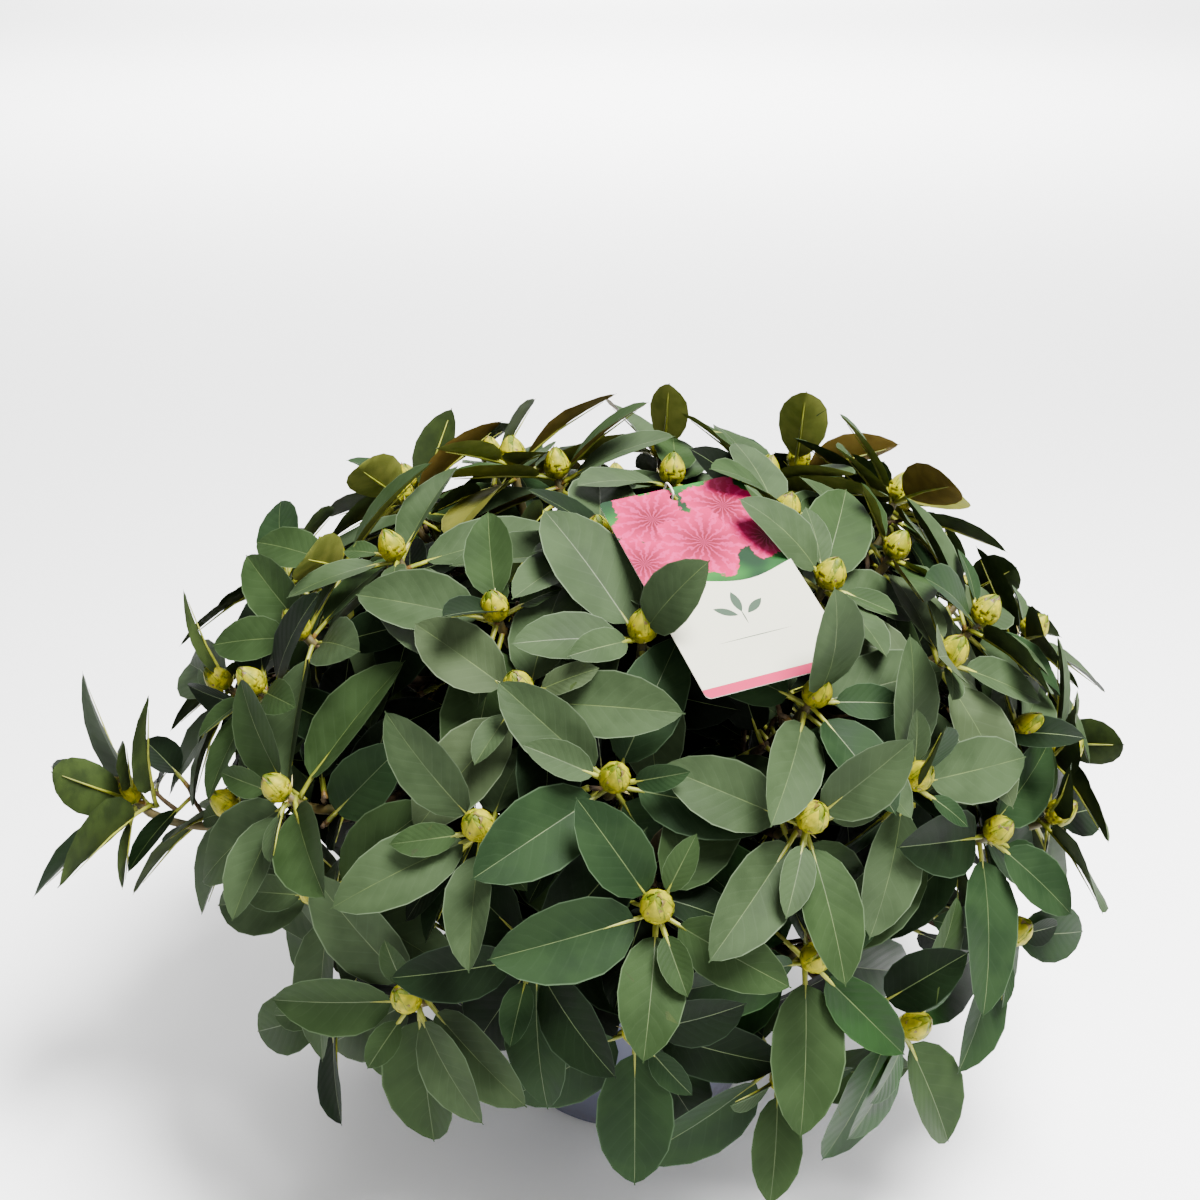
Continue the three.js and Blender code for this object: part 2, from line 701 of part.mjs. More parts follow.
function twigSolid(shoot) {
  const radii = taper(TWIG.rootRadius, TWIG.tipRadius, TWIG.steps);
  return limb(shoot.points, radii, TWIG.sides, { foot: shoot.footFacing });
}

// ---------------------------------------------------------------- assembly

function cardSolid() {
  const half = { x: CARD.width / 2, y: CARD.height / 2 };
  const outline = new THREE.Shape();
  outline.moveTo(-half.x + CARD.corner, -half.y);
  outline.lineTo(half.x - CARD.corner, -half.y);
  outline.lineTo(half.x, -half.y + CARD.corner);
  outline.lineTo(half.x, half.y - CARD.corner);
  outline.lineTo(half.x - CARD.corner, half.y);
  outline.lineTo(-half.x + CARD.corner, half.y);
  outline.lineTo(-half.x, half.y - CARD.corner);
  outline.lineTo(-half.x, -half.y + CARD.corner);
  const hole = new THREE.Path();
  hole.absarc(0, half.y - CARD.holeInset, CARD.holeRadius, 0, 2 * Math.PI, true);
  outline.holes.push(hole);
  const geometry = new THREE.ExtrudeGeometry(outline, {
    depth: CARD.thickness, bevelEnabled: false, curveSegments: 8,
  });
  geometry.translate(0, 0, -CARD.thickness / 2);
  const { across, upward, out } = CARD_FRAME;
  geometry.applyMatrix4(new THREE.Matrix4().makeBasis(across, upward, out).setPosition(CARD.centre));
  return solid(geometry);
}

// A closed ring of string along a closed curve.
function tieSolid(curve) {
  const tube = 0.25; // of the torus it is bent from, whose ring has a radius of 1
  const geometry = new THREE.TorusGeometry(1, tube, TIE.sides, TIE.rings);
  const middle = sum(...curve.getSpacedPoints(TIE.rings).map((point) => [point, 1 / (TIE.rings + 1)]));
  const place = geometry.attributes.position;
  for (let i = 0; i < place.count; i += 1) {
    const turn = Math.atan2(place.getY(i), place.getX(i)) / (2 * Math.PI);
    const share = (Math.round(turn * TIE.rings) + TIE.rings) % TIE.rings / TIE.rings;
    const point = curve.getPointAt(share);
    const tangent = curve.getTangentAt(share);
    const spoke = sum([point, 1], [middle, -1]);
    const normal = sum([spoke, 1], [tangent, -spoke.dot(tangent)]).normalize();
    const binormal = new THREE.Vector3().crossVectors(normal, tangent);
    const outward = (Math.hypot(place.getX(i), place.getY(i)) - 1) / tube;
    const upward = place.getZ(i) / tube;
    const skin = sum([point, 1], [normal, outward * TIE.radius], [binormal, upward * TIE.radius]);
    place.setXYZ(i, skin.x, skin.y, skin.z);
  }
  return solid(geometry);
}

const MATERIALS = {
  pot: new THREE.MeshStandardMaterial({ color: 0x6e7090, roughness: 0.5, metalness: 0 }),
  soil: new THREE.MeshStandardMaterial({ color: 0x2a1d14, roughness: 1, metalness: 0 }),
  bark: new THREE.MeshStandardMaterial({ color: 0x5b4a38, roughness: 0.9, metalness: 0 }),
  leaf: new THREE.MeshStandardMaterial({ color: 0x45603f, roughness: 0.6, metalness: 0 }),
  card: new THREE.MeshStandardMaterial({ color: 0xe9e6da, roughness: 0.4, metalness: 0 }),
  string: new THREE.MeshStandardMaterial({ color: 0xf2f0ea, roughness: 0.8, metalness: 0 }),
};

const plant = new THREE.Group();

function addPart(name, body, material) {
  const mesh = new THREE.Mesh(geometryOf(body), material);
  mesh.name = name;
  plant.add(mesh);
}

const branches = plan();
const tieCurve = planTie(branches);
growLeaves(branches, tieCurve);

const pot = potSolid();
const soil = soilSolid();
const trunk = trunkSolid();
const card = cardSolid();
const tie = tieSolid(tieCurve);
addPart('pot', pot, MATERIALS.pot);
addPart('soil', soil, MATERIALS.soil);
addPart('trunk', trunk, MATERIALS.bark);
addPart('label_card', card, MATERIALS.card);
addPart('label_tie', tie, MATERIALS.string);

const trunkGuard = trunkSolid(CLEARANCE);
const boughs = branches.map(({ bough }) => {
  const radii = taper(BOUGH.rootRadius, BOUGH.tipRadius, BOUGH.steps);
  const whole = limb(bough.curve.getSpacedPoints(BOUGH.steps), radii, BOUGH.sides, { tip: bough.leaving });
  return largestPiece(whole.subtract(trunkGuard));
});
branches.forEach(({ mass }, i) => addPart(`bough_${mass.name}`, boughs[i], MATERIALS.bark));

const skeletons = branches.map(({ shoots }) => (
  wasm.Manifold.union([...shoots.map(twigSolid), ...shoots.map(budSolid)])
));
const leafBodies = [];
branches.forEach((branch, i) => {
  const others = skeletons.filter((_, j) => j !== i);
  const taken = wasm.Manifold.union([pot, soil, trunk, card, tie, ...boughs, ...others, ...leafBodies]);
  const own = [];
  for (const leaf of branch.shoots.flatMap((shoot) => shoot.leaves)) {
    if (leafSolid(leaf, GUARD).intersect(taken).isEmpty()) own.push(leafSolid(leaf));
  }
  leafBodies.push(...own);
  const foliage = skeletons[i].add(wasm.Manifold.union(own));
  addPart(`foliage_${branch.mass.name}`, largestPiece(foliage), MATERIALS.leaf);
});

export default plant;
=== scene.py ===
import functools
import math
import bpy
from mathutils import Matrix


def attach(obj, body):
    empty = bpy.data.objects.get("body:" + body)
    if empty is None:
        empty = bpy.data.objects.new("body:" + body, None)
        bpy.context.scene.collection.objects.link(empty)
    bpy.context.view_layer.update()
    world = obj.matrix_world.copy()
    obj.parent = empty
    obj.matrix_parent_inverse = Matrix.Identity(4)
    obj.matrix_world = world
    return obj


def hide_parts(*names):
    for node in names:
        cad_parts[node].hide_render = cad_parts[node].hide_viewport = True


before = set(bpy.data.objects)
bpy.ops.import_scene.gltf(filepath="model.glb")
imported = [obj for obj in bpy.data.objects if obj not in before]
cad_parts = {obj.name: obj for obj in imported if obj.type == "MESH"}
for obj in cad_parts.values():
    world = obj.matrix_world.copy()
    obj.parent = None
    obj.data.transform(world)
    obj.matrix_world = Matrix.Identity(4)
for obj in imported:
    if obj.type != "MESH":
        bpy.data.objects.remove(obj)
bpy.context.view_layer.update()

# A broad-leaved rhododendron in its nursery pot. Its boughs, twigs, leaves and buds grow by the same seeded
# rule as the model's solids, in millimetres and degrees, and become metres when they turn into meshes.
from types import SimpleNamespace as Named

import bpy
import numpy as np
from mathutils import Matrix, Vector

MM = 0.001

# ---------------------------------------------------------------- sizes shared with the solids

CLEARANCE = 0.3
POT = Named(
    height=205, base_radius=89, top_radius=115, wall=2.5, floor=3, foot_edge=2.5,
    rim_height=16, rim_width=4, drain_holes=4, drain_radius=6, drain_circle=62,
)
SOIL = Named(top=188, gap=0.9)
TRUNK = Named(
    foot_radius=15, flare=9, flare_lobes=5, lobe_depth=0.3, flare_fall=7,
    top_radius=12, height=108, lean_x=8, lean_y=4,
)
CROWN = Named(
    centre_height=255, half_width=345, half_depth=318, rise=272, fall=260,
    squareness=2.5, leaf_overhang=96,
)
BOUGH = Named(
    lowest=8, highest=82, low_rise=20, top_rise=82, root_radius=4.6, tip_radius=3.9,
    share=0.4, set_out=0.35, run_in=0.3, lift=0.1,
)
TWIG = Named(
    root_radius=4, tip_radius=3.3, steps=3, lift=0.8, sway=0.3, reach_sway=0.05,
    first_fork=20, fork_spacing=13, set_out=0.14, stand_off=0.2, run_in=0.3,
)
BUD = Named(length=27, radius=10.5, seat=1.5)
LEAF = Named(
    petiole=17, shortest=66, longest=97, slimmest=0.46, widest=0.54, fold=0.16, bend=30,
    inner_rise=34, outer_rise=-8, sag=0.16, first=3.5,
)
ROSETTE = Named(
    fewest=6, most=7, spacing=2.1, golden_angle=137.5, shortened=3, head_start=0.6,
    turn_sway=10, rise_sway=10, roll_sway=24, length_sway=0.2,
)
OLD_LEAF = Named(below=66, rise=-4, rise_sway=16, roll_sway=20)
AIR = Named(blade=3.4, sibling=1.2, twig=2, pot=4, lowest=105)
TRIES = Named(rises=(0, 9, -9, 18, -18, 28, -28, 38), shortening=0.02, turn=3)
SCAN = Named(
    edge=0.92, blade_steps=7, twig_steps=12, twig_step=12, own_foot=2, fine_steps=40,
    string_steps=30, bough_steps=20, arc_steps=200,
)
FIRST_SEED = 1121


def mass(name, azimuth, elevation, spread, turn, shoots=3, **own):
    """One mass of foliage: where it lies in the crown, and how its shoots fan out."""
    return Named(
        name=name, azimuth=azimuth, elevation=elevation, spread=spread, turn=turn, shoots=shoots,
        reach=own.get("reach", 1), lift=own.get("lift", TWIG.lift), cup=own.get("cup", 0),
        leaf_turn=own.get("leaf_turn"),
    )


MASSES = [
    mass("front_low", -4, 8, 9.5, 175),
    mass("back_low", 155, 4, 11, 30),
    mass("left_low", -38, 1, 10, 0),
    mass("right_back_low", 118, 4, 12, 45),
    mass("left_far", -79, 7, 0, 0, 1, reach=1.15, lift=1.6, cup=34, leaf_turn=355),
    mass("right_low", 25, -3, 10, 110),
    mass("left_back_low", -126, 3, 12, 20),
    mass("back_left_low", -168, 4, 11, 90),
    mass("right_front_low", 57, 8, 9, 135),
    mass("back_mid", 172, 30, 12, 45),
    mass("left_side", -94, 24, 10, 100),
    mass("right_side", 86, 16, 10, 70),
    mass("front_right_mid", 29, 29, 8.5, 95),
    mass("left_back_mid", -134, 29, 12, 80),
    mass("left_front_mid", -60, 20, 9, 0),
    mass("right_front_mid", 62, 32, 9, 30),
    mass("front_mid", -14, 31, 9.5, 355),
    mass("right_back_mid", 125, 31, 12, 0),
    mass("left_front_high", -72, 44, 9, 60),
    mass("right_high", 60, 56, 9, 200),
    mass("left_back_high", -130, 55, 11, 325),
    mass("right_back_high", 120, 55, 11, 340),
    mass("front_high", -14, 56, 11, 90),
    mass("top", -178, 80, 12, 0),
]
LOW_BELOW = 14
TOP_FROM = 40


def tier_of(clump):
    """The part of the crown that a mass belongs to, by its elevation."""
    if clump.elevation < LOW_BELOW:
        return "low"
    return "top" if clump.elevation >= TOP_FROM else "middle"


# ---------------------------------------------------------------- sizes of the finer detail

# Short spurs on each twig, finer than the solids, that carry last years' leaves inside the crown.
SPUR = Named(
    below=(30, 48, 66, 84, 102, 120), below_sway=10, along_bough=(0.45, 0.6, 0.75, 0.9, 1.0), probe=0.02,
    length=26, least_length=0.8, more_length=0.4, forward=0.9, lift=0.25, knee=1.5,
    root_radius=2.1, taper=(1, 0.85, 0.8), sides=6,
    leaves=3, spacing=4.5, rise=12, rise_sway=34, shorter=0.86, reach=0.8, lowest=185,
)
BLADE = Named(
    rows=9, thickness=0.8, rib=1.0, midrib=0.36, midrib_end=0.4, slim_below=4, curl=0.02,
    ripple=2.6, waves=7, wave_shift=1.6, twist=0.16, deeper=0.32, fold_line=0.5, wider=1.04,
    base_power=0.56, tip_power=0.7, point=0.025, point_start=0.8, base_half=1.5, tip_half=0.45,
)
# A leaf's stalk in five rings: how far from the root and along the blade each one lies, how thick it is,
# and how deep it lies under the blade.
PETIOLE = Named(
    foot_radius=2.1, sides=4, brown_share=0.4,
    from_root=np.array([-0.5, 5, LEAF.petiole, LEAF.petiole, LEAF.petiole]),
    along_blade=np.array([0, 0, 0, 0.35, 0.85]),
    taper=np.array([1.1, 0.92, 0.86, 0.45, 0.12]),
    sunk=np.array([0, 0, 1.0, 1.8, 1.2]),
    in_fold=np.array([0, 0, 0, 0.48, 0.4]),
)
# Leaves that arch over the label's edges, and how much of each may lie over it.
COVER = Named(
    rises=range(40, 90, 5), turn_step=10, bends=(50, 70), shortest=66, longest=84,
    least=0.2, share=0.4, most=0.75, each=1, within=135,
)
# The youngest leaves, close under each bud. At the back of the crown's top they are longer and stand up.
YOUNG = Named(count=2, below=1.5, blades=(30, 50), rises=(34, 42, 24, 48, 14))
YOUNG_AT_BACK = Named(count=3, below=1.5, blades=(64, 84), rises=(44, 36, 48, 28))
BUD_CORE = Named(rings=7, sides=10, first=0.02, last=0.94, sunk=0.4, inset=1.3)
BUD_EGG = Named(foot_power=0.5, tip_power=0.88, widest=0.36, end=0.001)
BUD_SWAY = Named(slimmest=0.92, wider=0.14, shortest=0.9)
SCALE = Named(
    count=17, rows=6, wide=5, first=-0.02, last=0.5, crowding=0.8, length=0.5, first_length=0.7,
    arch=0.05, spread=58, last_spread=1.2, narrowing=0.97, narrowing_power=2.2,
    lift=0.5, crown=0.8, flare=0.9, depth=0.7, thinning=0.5,
)
BRACT = Named(
    count=4, foot=1.5, inset=0.7, shortest=6, longest=12, least_rise=0.1, more_rise=0.8, upturn=0.3,
    radii=np.array([0.8, 0.65, 0.12]), sides=4,
)
TWIG_SKIN = Named(
    steps=18, sides=9, into_bud=2, root_thinner=0.3, tip_thinner=0.1, knobs=0.12, knob_middle=0.35,
    last_old_ring=12,
)
WOOD = Named(
    trunk_rings=26, ring_crowding=1.5, trunk_sides=30, bough_steps=16, bough_sides=12, root_swell=1.2,
    skin_voxel=1.5, relief=1.3, relief_middle=0.75, fissure_size=6,
)
POT_SKIN = Named(
    steps=96, drill_sides=32, edge=0.6, edge_segments=2, edge_angle=25,
    base_lift=1.6, ring_inner=14, ring_outer=12, step_height=13, step=0.7, step_rise=1.5,
    rim_rise=1.6, rim_draft=0.4, lip_height=3, lip=0.8, lip_edge=2.4,
)
SOIL_SKIN = Named(rings=26, steps=90, lump_size=12, lump_detail=3, lump_height=7, level_rim=2)
CRUMB = Named(
    count=900, rim=6, length=1, longer=4, width=1, wider=2, height=0.8, higher=1.2, raised=1.5,
    full_turn=6.28, grit_share=0.06,
)
CARD_SKIN = Named(thickness=0.6, corner_segments=6, hole_sides=40)
STRING = Named(
    radius=0.8, holder="front_high", shoot=0, below=30, rings=96, sides=8, slimmer=0.9,
    route=((1.8, -7), (1.8, -2.5), (1.8, 2.2), (7, 3.4), (13, 1.5), (14.5, -6)),
    round_twig=((1, 0), (0.7, 0.7), (0, 1), (-0.7, 0.7), (-1, 0)),
)
DRILL_LENGTH = 20

# Each kind of detail draws its numbers from a seed of its own.
SEEDS = Named(
    plan=1, crumbs=1, twigs=3, leaf_shapes=5, spurs=7, buds=11, over_card=13, bough_spurs=17, young=19,
)

# ---------------------------------------------------------------- vectors and chance

UP = np.array([0.0, 0.0, 1.0])
CROWN_CENTRE = np.array([0.0, 0.0, CROWN.centre_height])


def vec(x, y, z):
    return np.array([x, y, z], float)


def unit(v):
    return v / np.linalg.norm(v, axis=-1, keepdims=True)


def mix(a, b, share):
    return a + (b - a) * share


def seeded(kind, rank=0):
    """One repeatable stream of numbers between 0 and 1 for each kind of detail and each branch."""
    state = ((kind * FIRST_SEED + rank) * 2654435 + 12345) % 2**32

    def draw():
        nonlocal state
        state = (state * 1664525 + 1013904223) % 2**32
        return state / 2**32

    return draw


def heading(azimuth, elevation):
    a, e = math.radians(azimuth), math.radians(elevation)
    return vec(math.cos(e) * math.sin(a), -math.cos(e) * math.cos(a), math.sin(e))


def crown_radius(direction):
    across = np.hypot(direction[..., 0] / CROWN.half_width, direction[..., 1] / CROWN.half_depth)
    upright = np.abs(direction[..., 2]) / np.where(direction[..., 2] < 0, CROWN.fall, CROWN.rise)
    power = CROWN.squareness
    return (across**power + upright**power) ** (-1 / power)


def bezier(a, b, c, d, t):
    t = np.asarray(t, float)[..., None]
    return (1 - t) ** 3 * a + 3 * (1 - t) ** 2 * t * b + 3 * (1 - t) * t**2 * c + t**3 * d


def evenly(curve, steps):
    """Points at even distances along a curve given from 0 to 1."""
    t = np.linspace(0, 1, SCAN.arc_steps + 1)
    points = curve(t)
    run = np.concatenate([[0], np.cumsum(np.linalg.norm(np.diff(points, axis=0), axis=1))])
    return curve(np.interp(np.linspace(0, run[-1], steps + 1), run, t))


# ---------------------------------------------------------------- the plan of boughs and shoots


def pot_radius(height):
    return mix(POT.base_radius, POT.top_radius, height / POT.height)


def trunk_centre(height):
    share = height / TRUNK.height
    return vec(TRUNK.lean_x * share, TRUNK.lean_y * share, SOIL.top + CLEARANCE + height)


def plan_bough(clump, rank):
    last = len(MASSES) - 1
    height = TRUNK.height if rank == last else mix(BOUGH.lowest, BOUGH.highest, rank / (last - 1))
    out = heading(clump.azimuth, clump.elevation)
    root = trunk_centre(height)
    tip = CROWN_CENTRE + out * crown_radius(out) * BOUGH.share
    length = np.linalg.norm(tip - root)
    rising = heading(clump.azimuth, mix(BOUGH.low_rise, BOUGH.top_rise, clump.elevation / 90))
    leaving = unit(out + UP * BOUGH.lift)
    handles = root + rising * length * BOUGH.set_out, tip - leaving * length * BOUGH.run_in
    return Named(tip=tip, leaving=leaving, curve=lambda t: bezier(root, *handles, tip, t))


def shoot_headings(clump):
    out = heading(clump.azimuth, clump.elevation)
    east = heading(clump.azimuth + 90, 0)
    north = heading(clump.azimuth, clump.elevation + 90)
    swing = math.tan(math.radians(clump.spread))
    turns = [math.radians(clump.turn + i * 360 / clump.shoots) for i in range(clump.shoots)]
    return [unit(out + east * swing * math.cos(a) + north * swing * math.sin(a)) for a in turns]


def plan_shoot(clump, direction, start, leaving, draw, is_side):
    reach = clump.reach * (1 + TWIG.reach_sway * (draw() - 0.5))
    tip = CROWN_CENTRE + direction * crown_radius(direction) * reach
    sway = vec(draw() - 0.5, draw() - 0.5, draw() - 0.5)
    axis = unit(direction + UP * clump.lift + sway * TWIG.sway)
    end = tip + axis * (BUD.seat - BUD.length)
    chord = end - start
    length = np.linalg.norm(chord)
    outward = unit(chord - leaving * chord.dot(leaving))
    handles = (
        start + leaving * length * TWIG.set_out + outward * (length * TWIG.stand_off if is_side else 0),
        end - axis * length * TWIG.run_in,
    )

    def curve(t):
        return bezier(start, *handles, end, t)

    points = evenly(curve, TWIG.steps)
    return Named(tip=tip, axis=axis, curve=curve, points=points, leaves=[], spurs=[])


def on_twig(points, back):
    """The point of a twig that lies a way back from its end, with the twig's direction there."""
    left = back
    for i in range(len(points) - 1, 0, -1):
        step = np.linalg.norm(points[i] - points[i - 1])
        if left <= step or i == 1:
            break
        left -= step
    axis = unit(points[i] - points[i - 1])
    return points[i] - axis * min(left, step), axis


def plan():
    branches = []
    for rank, clump in enumerate(MASSES):
        bough = plan_bough(clump, rank)
        foot = bough.tip + bough.leaving * CLEARANCE
        draw = seeded(SEEDS.plan, rank)
        shoots = []
        for i, direction in enumerate(shoot_headings(clump)):
            along = TWIG.first_fork + TWIG.fork_spacing * (i - 1)
            start = on_twig(shoots[0].points[::-1], along)[0] if shoots else foot
            shoots.append(plan_shoot(clump, direction, start, bough.leaving, draw, i > 0))
        branches.append(Named(mass=clump, rank=rank, bough=bough, shoots=shoots, draw=draw))
    return branches


# ---------------------------------------------------------------- where a leaf lies


def make_leaf(shoot, root, axis, turn, rise, blade, width, roll, bend=LEAF.bend):
    """A leaf along an arc from its root: along and up are its directions there, side is square to both."""
    across = unit(np.cross(axis, UP))
    level = np.cross(across, axis)
    spoke = across * math.cos(math.radians(turn)) + level * math.sin(math.radians(turn))
    tilt, lean = math.radians(rise), math.radians(roll)
    along = unit(spoke * math.cos(tilt) + axis * math.sin(tilt) - UP * LEAF.sag)
    flat_side = np.cross(axis, spoke)
    side = unit(flat_side - along * flat_side.dot(along))
    flat_up = np.cross(along, side)
    total = LEAF.petiole + blade
    leaf = Named(
        shoot=shoot, root=root, along=along, blade=blade, width=width, total=total,
        side=side * math.cos(lean) + flat_up * math.sin(lean),
        up=flat_up * math.cos(lean) - side * math.sin(lean),
        bend=math.radians(bend) / total, deeper=BLADE.deeper, old=False,
    )
    far = LEAF.petiole + blade * np.arange(SCAN.blade_steps + 1) / SCAN.blade_steps
    leaf.lines = lines_at(leaf, far)
    return leaf


def leaf_point(leaf, far, across, height=0.0):
    """Points of a leaf a way along it, a way across it and a way above its folded surface."""
    far, across, height = np.broadcast_arrays(far, across, height)
    turn = leaf.bend * far
    lift = height + LEAF.fold * np.abs(across)
    forward = np.sin(turn) / leaf.bend + lift * np.sin(turn)
    upward = (np.cos(turn) - 1) / leaf.bend + lift * np.cos(turn)
    return (leaf.root + forward[..., None] * leaf.along + upward[..., None] * leaf.up
            + across[..., None] * leaf.side)


def half_width(width, blade, far):
    share = np.clip((far - LEAF.petiole) / blade, 0, 1)
    return width * np.sqrt(share * (1 - share))


def lines_at(leaf, far):
    """Points down one edge, the middle and the other edge of a leaf."""
    edge = half_width(leaf.width, leaf.blade, far) * SCAN.edge
    return np.stack([leaf_point(leaf, far, side * edge) for side in (-1, 0, 1)])


def fine_lines(leaf):
    """Close-set points down the middle and the edges of a leaf, its stalk too."""
    return lines_at(leaf, np.linspace(0, leaf.total, SCAN.fine_steps))


class Crowd:
    """Many leaves' places in arrays, to try points against all of them at once."""

    FIELDS = ("root", "along", "side", "up", "bend", "total", "blade", "width", "lines", "fine")

    def __init__(self, *leaves):
        self.leaves = []
        self.store = None
        for leaf in leaves:
            self.add(leaf)

    def add(self, leaf):
        leaf.fine = fine_lines(leaf)
        self.leaves.append(leaf)
        self.store = None

    def arrays(self):
        if self.store is None:
            self.store = {f: np.array([getattr(leaf, f) for leaf in self.leaves]) for f in self.FIELDS}
            self.store["shoot"] = np.array([id(leaf.shoot) for leaf in self.leaves])
        return self.store


def blades_meet(blades, lines, air, skip=0):
    """For each blade, True where its lines of points (blade, line, point, xyz) come too near or cross it."""
    ones = (1,) * (lines.ndim - 2)

    def spread(field):
        return blades[field].reshape(blades[field].shape[0], *ones, -1)

    def flat(field):
        return blades[field].reshape(-1, *ones)

    offset = lines - spread("root")
    x = (offset * spread("along")).sum(-1)
    z = (offset * spread("up")).sum(-1) + 1 / flat("bend")
    across = (offset * spread("side")).sum(-1)
    above = np.hypot(x, z) - 1 / flat("bend") - LEAF.fold * np.abs(across)
    far = np.arctan2(x, z) / flat("bend")
    on_blade = (far > LEAF.petiole - AIR.twig) & (far < flat("total") + AIR.twig)
    on_blade &= np.abs(across) < half_width(flat("width"), flat("blade"), far) + AIR.twig
    on_blade &= np.arange(lines.shape[-2]) >= np.asarray(skip).reshape(-1, *ones)
    near = on_blade & (np.abs(above) < np.asarray(air))
    crossing = on_blade[..., 1:] & on_blade[..., :-1] & (above[..., 1:] * above[..., :-1] < 0)
    inner_axes = tuple(range(1, near.ndim))
    return near.any(axis=inner_axes) | crossing.any(axis=inner_axes)


# ---------------------------------------------------------------- the card and its string

CARD = Named(width=104, height=176, thickness=1.2, corner=4, centre=vec(55, -169, 494),
                       facing=heading(14, 63), turn=10, hole_radius=3, hole_inset=9)


def card_frame():
    level = unit(np.cross(UP, CARD.facing))
    steep = np.cross(CARD.facing, level)
    turn = math.radians(CARD.turn)
    across = level * math.cos(turn) + steep * math.sin(turn)
    upward = steep * math.cos(turn) - level * math.sin(turn)
    return across, upward, CARD.facing


CARD_ACROSS, CARD_UPWARD, CARD_OUT = card_frame()


def above_card(points):
    return (points - CARD.centre) @ CARD_OUT


def beside_card(points, margin):
    """True for points within the card's outline and a margin round it, at any height."""
    offset = points - CARD.centre
    return ((np.abs(offset @ CARD_ACROSS) < CARD.width / 2 + margin)
            & (np.abs(offset @ CARD_UPWARD) < CARD.height / 2 + margin))


def touches_card(points):
    return (np.abs(above_card(points)) < CARD.thickness + AIR.twig) & beside_card(points, AIR.twig)


def over_card(points):
    return (above_card(points) > CARD.thickness + AIR.twig) & beside_card(points, 0)


def cuts_card(leaf):
    """True where a leaf, from its root on, passes through the card."""
    points = fine_lines(leaf)
    above = above_card(points)
    inside = beside_card(points, AIR.sibling)
    return ((above[:, 1:] * above[:, :-1] < 0) & inside[:, 1:] & inside[:, :-1]).any()


def catmull_rom(points):
    """A smooth closed curve through the points, from 0 to 1."""
    points = np.array(points)
    gaps = np.linalg.norm(np.roll(points, -1, axis=0) - points, axis=1) ** 0.5
    count = len(points)

    def curve(t):
        place = (np.asarray(t) % 1) * count
        i = np.minimum(place.astype(int), count - 1)
        w = (place - i)[:, None]
        p0, p1, p2, p3 = (points[(i + k) % count] for k in (-1, 0, 1, 2))
        d0, d1, d2 = (gaps[(i + k) % count][:, None] for k in (-1, 0, 1))
        m1 = ((p1 - p0) / d0 - (p2 - p0) / (d0 + d1) + (p2 - p1) / d1) * d1
        m2 = ((p2 - p1) / d1 - (p3 - p1) / (d1 + d2) + (p3 - p2) / d2) * d1
        return (p1 * (2 * w**3 - 3 * w**2 + 1) + m1 * (w**3 - 2 * w**2 + w)
                + p2 * (3 * w**2 - 2 * w**3) + m2 * (w**3 - w**2))

    return curve


def plan_string(branches):
    """The closed loop of string: through the card's hole, up, and round the twig that holds it."""
    holder = next(b for b in branches if b.mass.name == STRING.holder).shoots[STRING.shoot]
    seat, axis = on_twig(holder.points, STRING.below)
    hole = CARD.centre + CARD_UPWARD * (CARD.height / 2 - CARD.hole_inset)
    at_card = [hole + CARD_UPWARD * up + CARD_OUT * above for up, above in STRING.route]
    pull = unit(seat - hole)
    sideways = unit(np.cross(axis, pull))
    sideways *= 1 if sideways @ CARD_UPWARD >= 0 else -1
    beyond = unit(np.cross(sideways, axis))
    beyond *= 1 if beyond @ pull >= 0 else -1
    loop = TWIG.root_radius + STRING.radius + CLEARANCE
    at_twig = [seat + sideways * a * loop + beyond * b * loop for a, b in STRING.round_twig]
    return catmull_rom(at_card + at_twig)


# ---------------------------------------------------------------- growing the leaves


